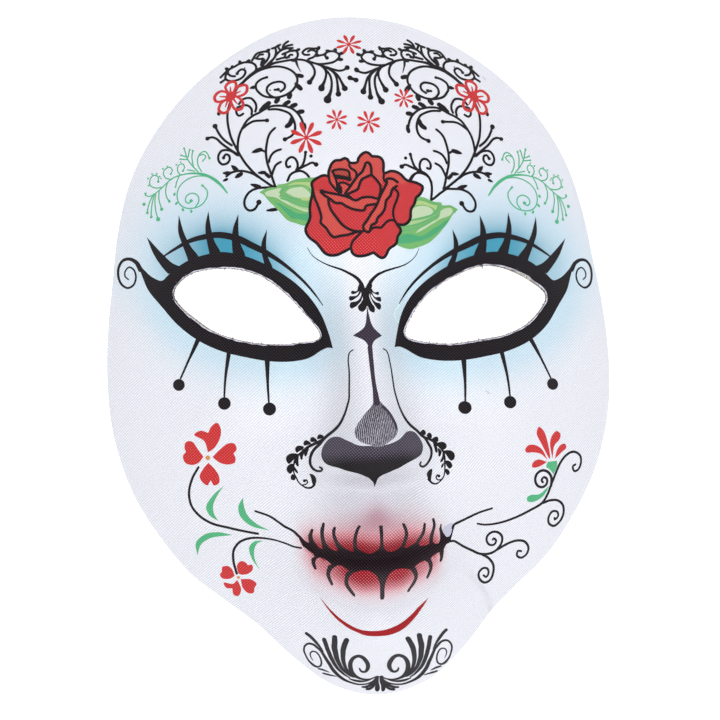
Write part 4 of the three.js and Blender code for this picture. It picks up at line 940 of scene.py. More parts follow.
def drawRose(p):
    line = printSettings["roseLine"]
    silhouette = [-8.3, 61.4, -7.9, 62.5, -7, 64.3, -5.8, 65.3, -4, 65.3, -2.6, 65.9, -1.7, 65.5, -1.1, 64.3,
        1.5, 64.3, 1.9, 65.5, 3, 66.8, 4.6, 67.6, 5.8, 67, 6.5, 66.1, 8.3, 65.9, 9.6, 65.2, 10.2, 63.6,
        10.1, 60.2, 12.4, 60.7, 14.2, 60.4, 15.8, 59.3, 17.1, 57.7, 18.3, 57, 20.1, 56.6, 21.7, 55.8,
        22.7, 55, 22.4, 53.6, 21.2, 52, 20.2, 51.4, 19.6, 49.5, 18.5, 48, 18, 46.8, 17.8, 44.8, 16.9, 43.2,
        15.5, 42.4, 14, 42.5, 13, 42.7, 14, 41.4, 14.1, 40, 13, 38.6, 12.6, 36.8, 11.9, 35.8, 10.1, 34.8,
        9.2, 33.4, 8.3, 32, 7.1, 31.8, 6, 32.5, 4.6, 33.6, 2.8, 33, 0.5, 32.7, -1.3, 33, -2.4, 34.1,
        -2.7, 35.5, -3.5, 35.2, -5.4, 34.3, -7.6, 33.5, -9.9, 33.6, -11.5, 34.5, -12.6, 36.1, -14, 38,
        -15.8, 39.5, -17, 41.4, -17.1, 43, -16.3, 44.5, -15.4, 46.4, -15.3, 49.5, -14.9, 51.8, -14.2, 54.1,
        -13.9, 55.9, -14.1, 58, -13.1, 59.1, -11.7, 59.9, -9.9, 60.5, -8.5, 60.2]
    backPetalEdge = [5.3, 63.9, 5.9, 62.5, 5.9, 60.2]
    rightStrip = [2.1, 41.1, 1.9, 42.7, 3.3, 44.5, 4.9, 46.8, 6.5, 48.9, 7.4, 50.5, 8.3, 52.5, 10.1, 55.5,
        10.8, 56.8, 10.8, 58, 12.8, 58, 14.4, 56.8]
    rightStripBack = [14, 55.5, 12.4, 54.3, 11.7, 52.5, 10.1, 50.7, 9.5, 48.2, 8.3, 46.4, 6.9, 45.2,
        6.2, 43.6, 4.6, 42.7, 4, 40.9, 3.3, 40.5]
    leftFold = [-13.9, 55.9, -13.5, 53.2, -12.6, 50.5, -12, 48.2, -11.7, 46.4, -12, 44.5, -10.4, 42.7,
        -9.2, 40.5, -8.1, 39.5, -5.8, 39.8, -3.5, 40, -1.5, 40.5, 0.1, 40.9, 1.5, 40.9]
    cupLeft = [-9, 52.3, -8.9, 50.5, -8.1, 48.2, -6.7, 45.9, -4.9, 43.4, -3.1, 42, -0.8, 41.1, 1.5, 40.9]
    bandTop = [-11.3, 55.2, -8.1, 54.3, -5.4, 53.6, -2.6, 52.7, 0.1, 51.4, 1.9, 52.1, 4.6, 52.3, 7.1, 51.6]
    bandFoot = [-11.3, 55, -10.1, 53.6, -8.3, 52.3, -6.7, 50.9, -4.9, 50.7, -3.1, 49.5, -0.8, 48.4, 2.6, 48,
        3.3, 49.3, 6.5, 49.8]
    innerStrip = [-3.3, 53.9, -1.7, 55.9, 0.1, 58.2, 1.5, 59.8, 2.8, 60.9, 3.7, 62.5, 4.4, 63.9, 5.3, 63.9,
        5.9, 62.5, 5.9, 60.2]
    innerPetal = [5.8, 59.8, 7.4, 58, 8.5, 55.9, 8.5, 54.1, 7.8, 51.8, 4.6, 52.3, 1.9, 52.1, 0.1, 51.4,
        -1.5, 52.4, -2.6, 53.4, -0.8, 54.3, 1, 55.2, 1.7, 56.8, 2.6, 58.4, 4.2, 59.1]
    p.face("roseDeep", smoothPath(silhouette, closed=True, gap=1.0))
    # paler petals: the back right, the bud, the left fold, and the turned edges
    p.face("roseLight", [5.9, 60.2, 5.3, 63.9, 1.5, 64.2, 2, 65.5, 3.2, 66.7, 4.7, 67.3, 5.9, 66.6, 6.6, 65.8,
        8.3, 65.6, 9.4, 65, 9.9, 63.5, 9.8, 60.2, 9.4, 57, 8.5, 55.9, 7.4, 58])
    p.face("roseLight", [-8.3, 60.2, -8.1, 58.2, -7.1, 56.4, -5.1, 54.3, -3.3, 53.9, -1.7, 55.9, 1.5, 59.8,
        3.7, 62.5, 4.4, 63.9, -1.1, 64.1, -1.9, 65.2, -2.7, 65.6, -4, 65, -5.7, 65, -6.8, 64.1, -7.7, 62.4])
    p.area("roseLight", leftFold[:-2], backwards(cupLeft) + [-11.3, 54.8])
    p.area("roseLight", bandTop, backwards(bandFoot))
    p.area("roseLight", rightStrip, rightStripBack)
    p.area("roseLight", innerStrip, [5.8, 59.8, 4.2, 59.1, 2.6, 58.4, 1.7, 56.8, 1, 55.2, -0.8, 54.3])
    p.face("roseLight", [10.4, 57.5, 10.1, 60, 12.4, 60.4, 14.1, 60.1, 15.6, 59, 17, 57.4, 18.2, 56.7, 16, 56,
        14.4, 56.8, 12.8, 58, 10.8, 58])
    p.face("roseBrown", [-6.3, 59.6, -6.7, 61.5, -5, 61.9, -2.3, 61.4, -1.7, 60.8, -1.6, 59.3])
    p.face("roseDeep", [-5.6, 57.2, -6, 59.2, -1.7, 58.9, -1.7, 57.2, -3.1, 57, -4.5, 57.4])
    p.stroke("black", silhouette + silhouette[:2], line, gap=1.0)
    for path in (rightStrip, rightStripBack + [2.1, 41.1], leftFold, cupLeft, bandTop, bandFoot, innerStrip,
                 innerPetal[:10], innerPetal[16:] + innerPetal[:2], backPetalEdge):
        p.stroke("black", path, line * 0.95)
    p.dot("black", -10.9, 55, 0.85)
    for path in (
            [12.8, 55, 14.3, 53.2, 13.7, 50.9, 12.6, 48.6, 12.1, 46.4, 12.4, 44.1, 13, 42.7],
            [12.8, 43.4, 11.9, 44.1, 10.1, 43.9, 8.7, 42.7, 7.8, 41.8, 6, 42, 4.6, 41.6, 3.5, 40.7],
            [-2.7, 35.5, -2.2, 37.3, -0.8, 38.9, 1, 40.5],
            [-8.3, 60.2, -8.1, 58.2, -7.1, 56.4, -6, 55, -5.1, 54.3],
            [-7, 61.8, -4.9, 62.2, -2.2, 61.7, -1.5, 61.1, -1.5, 59.1, -1.7, 58.2],
            [-7, 61.6, -6.3, 59.8, -5.8, 57.7, -5.8, 55.5, -5.4, 54.5], [-6.5, 60.2, -4, 59.7, -1.2, 58.9],
            [-6.2, 59.5, -4, 59.1, -1.2, 58.4], [-5.2, 57.2, -4.6, 57.6, -3.2, 57.5, -2, 56.7, -1.1, 56.5],
            [-5.4, 57.2, -4.6, 55.9, -4.6, 54.3], [-5.6, 57, -5.2, 55.5, -5.1, 54.4],
            [-1.3, 63.6, -0.8, 62.3, 0.3, 61.6, 0.9, 60.7, 0.8, 59.5], [10.1, 60.2, 9.9, 57.8, 10.8, 56.8]):
        p.stroke("black", path, line * 0.85)


def drawPrint():
    p = PrintedShapes()
    drawForehead(p)
    p.pair(drawTempleScroll, mirrored("temple"))
    drawLeaves(p)
    drawRose(p)
    drawBrow(p)
    drawNose(p)
    p.pair(drawEye, mirrored("eye"))
    drawMouth(p)
    drawSmile(p)
    drawChin(p)
    drawLeftCheek(p)
    drawRightCheek(p)
    for x, y, r in ((-25.6, 91.5, 0.3), (-6.7, 86.6, 1.35), (-8.4, 90.8, 1.15)):
        p.dot("black", x, y, r)
    p.stroke("lilac", [39.2, -13.9, 40, -14.4, 40.8, -15.1], (0.3, 0.45, 0.3))
    p.stroke("lilac", [48, 93.6, 48.8, 92.3], (0.3, 0.5))
    p.stroke("mint", [12.7, 16.1, 11.3, 14.6, 10.7, 12.7, 11.3, 11.2, 11.9, 10.4], 0.4)
    fray = np.random.default_rng(11)
    for side in ("leftEye", "rightEye"):
        rim = evenlySpaced(smoothPath(faceForm[side], closed=True, gap=0.3), 1.1)
        rim = np.vstack([rim, rim[:2]])
        p.stroke("cutEdge", rim, fray.uniform(*printSettings["cutEdgeWidth"], 90), gap=0.7)
    p.dot("black", 40.7, 27.5, 0.6)
    return p


report("face and print described")


# Soft sprayed colours, and painted shade round the nose, lips and jaw, as shares from 0 to 1 at any point
def nearestOn(x, y, path):
    line = smoothPath(path, gap=1.5)
    best = np.full(x.shape, 1e9)
    for a, b in zip(line, line[1:]):
        run = b - a
        t = np.clip(((x - a[0]) * run[0] + (y - a[1]) * run[1]) / max(run @ run, 1e-9), 0, 1)
        best = np.minimum(best, np.hypot(x - a[0] - t * run[0], y - a[1] - t * run[1]))
    return best


sprayPaths = {
    "upperLiner": [-71, 29, -65.7, 29, -60, 33.2, -50, 36.6, -44.5, 36.9, -37.5, 35, -30.5, 31.6, -25.3, 28.2,
        -20.6, 24.3, -16.5, 19.6, -13.3, 14, -10.4, 4],
    "lowerLiner": [-72, 31, -66.5, 20.5, -61, 13.5, -54.5, 8, -47, 4, -39, 1.5, -31.5, -0.2, -24.5, -0.7,
        -16, 1, -11, 3],
    "lidCrease": [-66, 36.5, -60.5, 39.4, -55.5, 41.6, -50, 42.6, -46, 42.8, -40, 41.7, -35, 39.3, -30, 36,
        -24.5, 31.5, -19, 26, -15.5, 21.5, -12, 16],
    "upperBand": [-26, -59, -21.5, -61, -18, -63, -13, -63.7, -8, -64.2, -2.5, -65, 4.5, -64.8, 9.5, -63.9,
        15.5, -63.9, 20.5, -63.7, 25, -61.7],
    "lowerBand": [-24, -62, -20.2, -65, -18, -66, -12.7, -68.4, -5, -70.4, 1, -70.8, 7.7, -70.5, 15.4, -68.8,
        21, -66.7, 25, -63.6],
}


def levelOf(name, x):
    line = np.reshape(sprayPaths[name], (-1, 2))
    return np.interp(x, line[:, 0], line[:, 1])


# Pale blue round the whole eye, and the deeper blue under the crease of the lid
def leftLid(x, y):
    lines = ("upperLiner", "lowerLiner", "lidCrease")
    reach = np.min([nearestOn(x, y, sprayPaths[name]) for name in lines], axis=0)
    pale = bell(reach, 9.5 + 8.0 * fade(8, 42, y)) * fade(-1.5, -8, x)
    pale *= (1 - 0.3 * fade(-19, -9, x)) * (1 - 0.6 * fade(-64, -82, x))
    above = y - levelOf("lidCrease", x)
    slant = 1 / np.sqrt(1 + ((levelOf("lidCrease", x + 1) - levelOf("lidCrease", x - 1)) / 2) ** 2)
    beyond = np.clip(above * slant, 0, None)
    deep = bell(x + 43, np.where(x < -43, 19.0, 24.0)) * fade(-15, -28, x)
    deep *= np.where(above < 0, 1.05, 0.9 * bell(beyond, 5.3, 1.3))
    deep *= fade(-5, -1, y - levelOf("upperLiner", x)) * fade(-74, -64, x)
    return pale, deep


def lidBlues(x, y):
    otherX, otherY = ontoLeftEye(x, y)
    return leftLid(np.where(x < 1, x, otherX), np.where(x < 1, y, otherY))


# Red of both lips, full up to the black band between them and fading away from it
def lipRed(x, y):
    side = np.abs(x)
    up, down = y - levelOf("upperBand", x), levelOf("lowerBand", x) - y
    across = fade(28 - 2.5 * fade(0, 10, x), 19, side) * (0.5 + 0.5 * bell(x, 20))
    across *= 1 - 0.17 * bell(x - 0.8, 4.5)
    upper = 1.12 - 0.05 * fade(1, 6, x)
    upper *= bell(np.clip(up, 0, None), 6.9 - 2.0 * fade(13, 24, side), 1.5)
    lower = 0.97 - 0.22 * fade(7, 17, side) - 0.06 * fade(1, 5, x)
    lower *= bell(np.clip(down, 0, None), 7.8 - 0.9 * fade(3, 12, x), 2.5)
    return np.clip(np.where(up > 0, upper, np.where(down > 0, lower, 1.0)) * across, 0, 1)


# Grey beside and under the nose, partly printed spray and partly painted shade of the nose's sides and
# overhang; painted shade in the crease round the chin and along the fold of the jaw; and the purple tint of
# the lip's bow, with a faint painted shade beside the lower lip
def greyShadeAndMauve(x, y):
    side = np.abs(x)
    # Grey beside the nose: partly printed spray, partly painted shade of the nose's sides
    flank = (0.08 - 0.05 * fade(0, 6, x)) * bell(np.abs(x - 0.8) - 8.5 - 0.12 * (-5 - y), 4)
    flank *= fade(6, -12, y) * fade(-37, -27, y)
    # painted shadow under the nose's overhang, and painted shade under the lower lip
    under = 0.11 * hump(x, y, -4, -45, 16, 6) + 0.04 * hump(x, y, 0, -84, 15, 3)
    # painted shade in the crease round the chin and in the fold of the jaw
    chinCrease = np.abs(y - (-84.5 + 18.5 * (side / 30) ** 2.2))
    jaw = nearestOn(x, y, [33.6, -76.5, 35.8, -79.2, 38, -82.8, 40, -87.2, 41.1, -90.2])
    under += 0.06 * bell(chinCrease, 2.2) * fade(34, 20, side) + 0.2 * bell(jaw, 0.8)
    bow = 0.75 * hump(x, y, 0.5, -54, 6.5 + 0.5 * np.clip(-54 - y, -5, 5), 5)
    # painted shade at the sides of the lower lip
    bow += 0.08 * hump(side, y, 19, -75, 6, 6)
    return np.clip(flank + under, 0, 1), np.clip(bow, 0, 1)


# Where the threads stand out more: round the nose and mouth
def coarseShare(x, y):
    return np.clip(0.9 * hump(x, y, 0, -38, 24, 20) + 0.8 * hump(x, y, 0, -68, 28, 15)
                   + 0.3 * hump(x, y, 0, -5, 12, 25), 0, 1)


# The cloth was pressed straight down into the form, so its threads stay nearly even seen from the front
threadStep = 0.5       # of the table below, mm
threadFollow = 0.12    # share of the form's own lengths in the thread coordinates


def clothLengths():
    step = threadStep
    xs, ys = np.arange(-92, 92 + step, step), np.arange(-122, 122 + step, step)
    gridX, gridY = np.meshgrid(xs, ys)
    acrossSlope, upSlope = faceSlope(gridX, gridY)
    across = np.cumsum(np.sqrt(1 + np.clip(acrossSlope, -3, 3) ** 2), axis=1) * step
    up = np.cumsum(np.sqrt(1 + np.clip(upSlope, -3, 3) ** 2), axis=0) * step
    across -= across[:, [len(xs) // 2]]
    up -= up[[len(ys) // 2], :]
    flat = 1 - threadFollow
    return xs, ys, across * threadFollow + gridX * flat, up * threadFollow + gridY * flat


threadX, threadY, threadAcross, threadUp = clothLengths()


def threadPlace(x, y):
    column = np.clip((x - threadX[0]) / threadStep, 0, len(threadX) - 1.001)
    row = np.clip((y - threadY[0]) / threadStep, 0, len(threadY) - 1.001)
    i, j = column.astype(int), row.astype(int)
    s, t = column - i, row - j
    result = []
    for table in (threadAcross, threadUp):
        result.append((1 - t) * ((1 - s) * table[j, i] + s * table[j, i + 1])
                      + t * ((1 - s) * table[j + 1, i] + s * table[j + 1, i + 1]))
    return np.stack(result, 1)


# Points in rows, every second one moved by half a step
def staggered(left, right, foot, top, spacing):
    rows = []
    for k, y in enumerate(np.arange(foot, top, spacing * 0.866)):
        x = np.arange(left + (spacing / 2 if k % 2 else 0), right, spacing)
        rows.append(np.stack([x, np.full(len(x), y)], 1))
    return np.vstack(rows)


# Points that fill the face, closer round the nose and mouth and none beside those already taken
def gridPoints(spacing, fineSpacing, taken):
    side, foot, top = 26, -100, 20    # of the close part
    points = staggered(-90, 90, -121, 121, spacing)
    coarse = (np.abs(points[:, 0]) > side) | (points[:, 1] < foot) | (points[:, 1] > top)
    points = np.vstack([points[coarse], staggered(-side, side, foot, top, fineSpacing)])
    points += np.random.default_rng(7).uniform(-0.08, 0.08, points.shape) * spacing
    cell = 0.7                        # holds one point or a taken one
    used = {(int(x // cell), int(y // cell)) for x, y in taken}
    return points[np.array([(int(x // cell), int(y // cell)) not in used for x, y in points])]


# Triangulates the area inside the rim and outside the holes, with every printed shape in it
def fillOutline(rim, holes, shapes, grid):
    points, faces = [], []
    for loop in (rim, *holes):
        ahead = np.roll(loop, -1, axis=0)
        turn = (loop[:, 0] * ahead[:, 1] - loop[:, 1] * ahead[:, 0]).sum()
        numbers = list(range(len(points), len(points) + len(loop)))
        faces.append(numbers if turn > 0 else numbers[::-1])
        points += list(loop)
    first, start = len(faces), len(points)
    points += shapes.points
    faces += [[start + k for k in face] for face in shapes.faces]
    points += list(grid)
    tolerance = 1e-4
    corners = [Vector((float(x), float(y))) for x, y in points]
    places, _, triangles, _, _, sources = delaunay_2d_cdt(corners, [], faces, 0, tolerance)
    kept, inks = [], []
    for triangle, source in zip(triangles, sources):
        if 0 not in source or any(k in source for k in range(1, first)):
            continue
        kept.append(list(triangle))
        top = max(source)
        inks.append(shapes.inks[top - first] if top >= first else "")
    kept = np.array(kept)
    places = np.array([tuple(v) for v in places])
    a, b, c = (places[kept[:, k]] for k in range(3))
    turn = (b[:, 0] - a[:, 0]) * (c[:, 1] - a[:, 1]) - (b[:, 1] - a[:, 1]) * (c[:, 0] - a[:, 0])
    kept[turn < 0] = kept[turn < 0][:, ::-1]
    used = np.unique(kept)
    renumber = np.full(len(places), -1)
    renumber[used] = np.arange(len(used))
    return places[used], renumber[kept], inks


def edgeLoops(triangles):
    ahead = {}
    directed = set()
    for a, b, c in triangles:
        directed.update(((a, b), (b, c), (c, a)))
    for a, b in directed:
        if (b, a) not in directed:
            ahead[a] = b
    loops = []
    while ahead:
        start = next(iter(ahead))
        loop, here = [], start
        while here in ahead:
            loop.append(here)
            here = ahead.pop(here)
        loops.append(loop)
    return sorted(loops, key=len, reverse=True)


# From a picture's 0 to 255 to linear light
def linear(colour):
    share = np.array(colour, float) / 255
    return np.where(share <= 0.04045, share / 12.92, ((share + 0.055) / 1.055) ** 2.4)


def inkAt(ink, y):
    entry = printSettings["inks"][ink]
    if not isinstance(entry[0], tuple):
        return np.broadcast_to(linear(entry), (len(y), 3))
    upper, lower, top, foot = entry
    share = fade(top, foot, y)[:, None]
    return linear(upper) * (1 - share) + linear(lower) * share


# Each layer's own place on its baked picture: left, foot and scale of a front or back, and the walls' strip
bakeLayout = {
    "corner": (87.5, 117.5),    # mm from the middle of the face to the layout's corner
    "large": (0.012, 0.02, 0.96 / 235), "small": (0.742, 0.02, 0.25 / 176),
    "wallLeft": 0.745, "wallFoot": 0.42, "wallLength": 0.25, "wallHeight": 0.02, "wallStep": 0.03,
}


def addObject(name, data):
    made = bpy.data.objects.new(name, data)
    bpy.context.scene.collection.objects.link(made)
    return made


# One closed layer of the mask between two depths, cut through at the eyes
def layerPiece(name, shapes, settings, frontSize, backSize):
    outerDepth, innerDepth, level = (settings[key] for key in ("outerDepth", "innerDepth", "rimLevel"))
    rim = onRim(rimLoop(settings["rimSpacing"]), outerDepth, level)
    holes = [eyeHole(side, settings) for side in ("leftEye", "rightEye")]
    taken = [point for loop in (rim, *holes) for point in loop] + shapes.points
    grid = gridPoints(settings["gridSpacing"], settings["fineSpacing"], taken)
    front, frontFaces, inks = fillOutline(rim, holes, shapes, grid)
    loops = edgeLoops(frontFaces.tolist())
    rimIndex = int(np.argmax([np.ptp(front[loop][:, 0]) for loop in loops]))
    backLoops = [front[loop] for loop in loops]
    backLoops[rimIndex] = onRim(backLoops[rimIndex], innerDepth, level)
    backHoles = [edge for k, edge in enumerate(backLoops) if k != rimIndex]
    taken = [point for edge in backLoops for point in edge]
    grid = gridPoints(settings["backSpacing"], settings["backFine"], taken)
    back, backFaces, _ = fillOutline(backLoops[rimIndex], backHoles, PrintedShapes(), grid)
    report(f"{name}: {len(frontFaces)} front and {len(backFaces)} back triangles")

    frontZ = layerHeight(front[:, 0], front[:, 1], outerDepth)
    backZ = layerHeight(back[:, 0], back[:, 1], innerDepth)
    start = len(front)
    walls, wallUv = [], []
    for k, (loop, edge) in enumerate(zip(loops, backLoops)):
        below = [start + int(np.argmin(np.hypot(back[:, 0] - x, back[:, 1] - y))) for x, y in edge]
        if k == rimIndex:
            frontZ[loop] = level
            backZ[np.array(below) - start] = level
        count = len(loop)
        for i in range(count):
            j = (i + 1) % count
            a, b, c, d = loop[i], below[i], below[j], loop[j]
            u0, u1 = (bakeLayout["wallLeft"] + bakeLayout["wallLength"] * n / count for n in (i, i + 1))
            v0 = bakeLayout["wallFoot"] + bakeLayout["wallStep"] * k
            v1 = v0 + bakeLayout["wallHeight"]
            if b != c:
                walls.append((a, b, c))
                wallUv.append(((u0, v1), (u0, v0), (u1, v0)))
            walls.append((a, c, d))
            wallUv.append(((u0, v1), (u1, v0), (u1, v1)))
    places = np.vstack([np.column_stack([front, frontZ]), np.column_stack([back, backZ])])
    triangles = np.vstack([frontFaces, backFaces[:, ::-1] + start, np.array(walls)])
    mesh = bpy.data.meshes.new(name)
    mesh.from_pydata((places * mm).tolist(), [], triangles.tolist())
    mesh.update()
    piece = addObject(name, mesh)

    corner = triangles.reshape(-1)
    frontEnd, backEnd = len(frontFaces) * 3, (len(frontFaces) + len(backFaces)) * 3
    flat = np.zeros((len(corner), 2))
    for part, size in ((slice(0, frontEnd), frontSize), (slice(frontEnd, backEnd), backSize)):
        left, foot, scale = bakeLayout[size]
        flat[part] = (left, foot) + (places[corner[part], :2] + bakeLayout["corner"]) * scale
    flat[backEnd:] = np.array(wallUv).reshape(-1, 2)
    mesh.uv_layers.new(name="OFBake").data.foreach_set("uv", flat.astype(np.float32).reshape(-1))
    threads = threadPlace(places[:, 0], places[:, 1])[corner]
    mesh.uv_layers.new(name="threads").data.foreach_set("uv", threads.astype(np.float32).reshape(-1))
    mesh.uv_layers["OFBake"].active = True
    mesh.uv_layers["OFBake"].active_render = True

    acrossSlope, upSlope = faceSlope(places[:, 0], places[:, 1])
    normals = np.stack([-acrossSlope, -upSlope, np.ones(len(places))], 1)
    normals /= np.linalg.norm(normals, axis=1)[:, None]
    cornerNormals = normals[corner]
    cornerNormals[frontEnd:] *= -1
    for k in range(backEnd, len(corner), 3):
        a, b, c = places[corner[k:k + 3]]
        n = np.cross(b - a, c - a)
        cornerNormals[k:k + 3] = n / max(np.linalg.norm(n), 1e-12)
    mesh.shade_smooth()
    mesh.normals_split_custom_set(cornerNormals.tolist())
    return piece, places, triangles, inks, len(frontFaces)


def eyeHole(side, settings):
    loop = evenlySpaced(smoothPath(faceForm[side], closed=True, gap=0.3), settings["holeSpacing"])
    lip = settings.get("lip", {}).get(side)
    if lip:
        # the shell shows past the cloth where its hole was cut smaller
        centreX, centreY, spread, amount = lip
        middle = loop.mean(0)
        share = settings["lipAll"] + amount * hump(loop[:, 0], loop[:, 1], centreX, centreY, spread, spread)
        inward = middle - loop
        loop = loop + inward / np.linalg.norm(inward, axis=1)[:, None] * share[:, None]
    return loop


clothSettings = {
    "outerDepth": 0.0, "innerDepth": 0.4, "rimLevel": 0.6,    # below the face's outside, above the table
    "rimSpacing": 1.5, "holeSpacing": 0.7, "gridSpacing": 1.6, "fineSpacing": 1.0,
    "backSpacing": 3.2, "backFine": 1.5,
    "white": (233, 234, 241),
    "lidPale": (199, 223, 236), "lidDeep": (64, 151, 178),
    # the last two colours on the next line also stand for painted shade round the nose, lips and jaw
    "lipPink": (220, 150, 158), "lipDeep": (156, 25, 38), "mauveAndShade": (208, 152, 168), "greyAndShade": (140, 138, 152),
    "bareThread": (212, 210, 222), "threadShadow": (84, 86, 108),
    # lines in a millimetre, across and up, and how far the cloth's waves bend them
    "twill": (0.86, -1.09, 9.0), "cross": (1.0, 0.8, 7.0), "strand": (1.55, 0.1, 16.0),
    "waveScale": 0.05, "grainScale": 1.9, "mottleScale": 14.0,
    "weaveDepth": 0.12, "weaveShade": 0.34, "roughness": 0.86,
}

shapes = drawPrint()
report(f"print drawn: {len(shapes.faces)} shapes")
cloth, *clothParts = layerPiece("stretched_cloth", shapes, clothSettings, "large", "small")


# How far the bare threads show through an ink at any point
def bareShare(ink, x, y):
    if ink == "mouthBlack":
        beyond = np.maximum(y - levelOf("upperBand", x), levelOf("lowerBand", x) - y)
        return 0.06 + 0.12 * fade(-0.5, 3, beyond) * fade(24, 12, np.abs(x))
    if ink == "nosePad":
        return 0.02 + 0.2 * fade(-36.5, -30.5, y)
    if ink == "teardrop":
        return 0.34 + 0.42 * fade(-12, -24, y)
    return printSettings["threadShow"].get(ink, 0.22)


def paintAttributes(piece, places, triangles, inks, frontCount):
    mesh = piece.data
    colour = np.zeros((len(triangles) * 3, 4), np.float32)
    frontCorners = triangles[:frontCount].reshape(-1)
    inkOfCorner = np.repeat(np.array(inks), 3)
    show = np.zeros(len(colour), np.float32)
    for ink in printSettings["inks"]:
        chosen = np.nonzero(inkOfCorner == ink)[0]
        x, y = places[frontCorners[chosen], :2].T
        colour[chosen, :3] = inkAt(ink, y)
        colour[chosen, 3] = 1
        show[chosen] = bareShare(ink, x, y)
    layer = mesh.color_attributes.new("ink", "FLOAT_COLOR", "CORNER")
    layer.data.foreach_set("color", colour.reshape(-1))
    px, py = places[:, 0], places[:, 1]
    # the second spray also holds painted shade round the nose, chin and jaw
    for name, parts in (("lidSpray", (*lidBlues(px, py), coarseShare(px, py))),
                        ("lipSprayAndShade", (lipRed(px, py), *greyShadeAndMauve(px, py)))):
        spray = mesh.color_attributes.new(name, "FLOAT_COLOR", "POINT")
        values = np.stack([*parts, np.ones(len(px))], 1)
        spray.data.foreach_set("color", values.astype(np.float32).reshape(-1))
    worn = mesh.attributes.new("threadShow", "FLOAT", "CORNER")
    worn.data.foreach_set("value", show)


paintAttributes(cloth, *clothParts)
report("print laid on the cloth")

shellSettings = {
    "outerDepth": 0.8, "innerDepth": 1.6, "rimLevel": 0.0,
    "rimSpacing": 2.2, "holeSpacing": 1.0, "gridSpacing": 3.2, "fineSpacing": 1.5,
    "backSpacing": 2.6, "backFine": 1.4,
    # where the shell shows past the cloth at the holes: place, spread and amount, mm
    "lip": {"leftEye": (-57.5, 14.5, 8.0, 0.55), "rightEye": (55.5, 23, 7.5, 0.7)}, "lipAll": 0.3,
    # the edge shade colour is painted shade along the eye holes' cut edges, standing in for the shadow of the
    # cut wall
    "colour": (222, 216, 200), "edgeShadeColour": (96, 92, 88), "roughness": 0.48,
}
shell, shellPlaces, *_ = layerPiece("formed_shell", PrintedShapes(), shellSettings, "small", "large")
# Painted shade: the shell is darkest on the cut edges of its eye holes, standing in for the shadow of the cut
# wall
cutEdge = np.zeros(len(shellPlaces), np.float32)
for side in ("leftEye", "rightEye"):
    away = shellPlaces[:, None, :2] - eyeHole(side, shellSettings)[None]
    cutEdge[np.linalg.norm(away, axis=2).min(1) < 0.01] = 1
shell.data.attributes.new("cutEdge", "FLOAT", "POINT").data.foreach_set("value", cutEdge)


# Wraps a node socket so that sums on it add the nodes they need
class Socket:
    def __init__(self, owner, socket):
        self.owner, self.socket = owner, socket

    def maths(self, operation, *values):
        return self.owner.node("ShaderNodeMath", {"operation": operation}, dict(enumerate(values)))

    def __add__(self, other): return self.maths("ADD", self, other)
    def __radd__(self, other): return self.maths("ADD", other, self)
    def __sub__(self, other): return self.maths("SUBTRACT", self, other)
    def __rsub__(self, other): return self.maths("SUBTRACT", other, self)
    def __mul__(self, other): return self.maths("MULTIPLY", self, other)
    def __rmul__(self, other): return self.maths("MULTIPLY", other, self)
    def __pow__(self, other): return self.maths("POWER", self, other)
    def __rpow__(self, other): return self.maths("POWER", other, self)

    # A sine wave from 0 to 1
    def wave(self):
        return self.maths("SINE", self) * 0.5 + 0.5

    def clipped(self):
        return self.maths("MAXIMUM", self.maths("MINIMUM", self, 1.0), 0.0)

    # Another output of the same node
    def beside(self, output):
        return Socket(self.owner, self.socket.node.outputs[output])


class Tree:
    def __init__(self, tree):
        self.tree = tree

    def feed(self, slot, value):
        if isinstance(value, Socket):
            self.tree.links.new(value.socket, slot)
        else:
            slot.default_value = value

    def node(self, kind, settings=None, inputs=None, output=0):
        node = self.tree.nodes.new(kind)
        for key, value in (settings or {}).items():
            setattr(node, key, value)
        for key, value in (inputs or {}).items():
            self.feed(node.inputs[key], value)
        return Socket(self, node.outputs[output])


class Finish(Tree):
    def __init__(self, name):
        self.material = bpy.data.materials.new(name)
        self.material.use_nodes = True
        super().__init__(self.material.node_tree)

    def attribute(self, name, output="Fac"):
        return self.node("ShaderNodeAttribute", {"attribute_name": name}, None, output)

    def noise(self, place, scale, detail, dimensions="3D"):
        return self.node("ShaderNodeTexNoise", {"noise_dimensions": dimensions},
                         {"Vector": place, "Scale": scale, "Detail": detail}, "Fac")

    def mix(self, share, a, b, blend="MIX"):
        settings = {"data_type": "RGBA", "blend_type": blend}
        return self.node("ShaderNodeMix", settings, {0: share, 6: a, 7: b}, 2)

    def bump(self, height, strength, distance):
        values = {"Height": height, "Strength": strength, "Distance": distance}
        return self.node("ShaderNodeBump", None, values)

    def set(self, **values):
        for key, value in values.items():
            self.feed(self.tree.nodes["Principled BSDF"].inputs[key.replace("_", " ")], value)


def rgba(colour):
    return (*[float(v) for v in linear(colour)], 1.0)


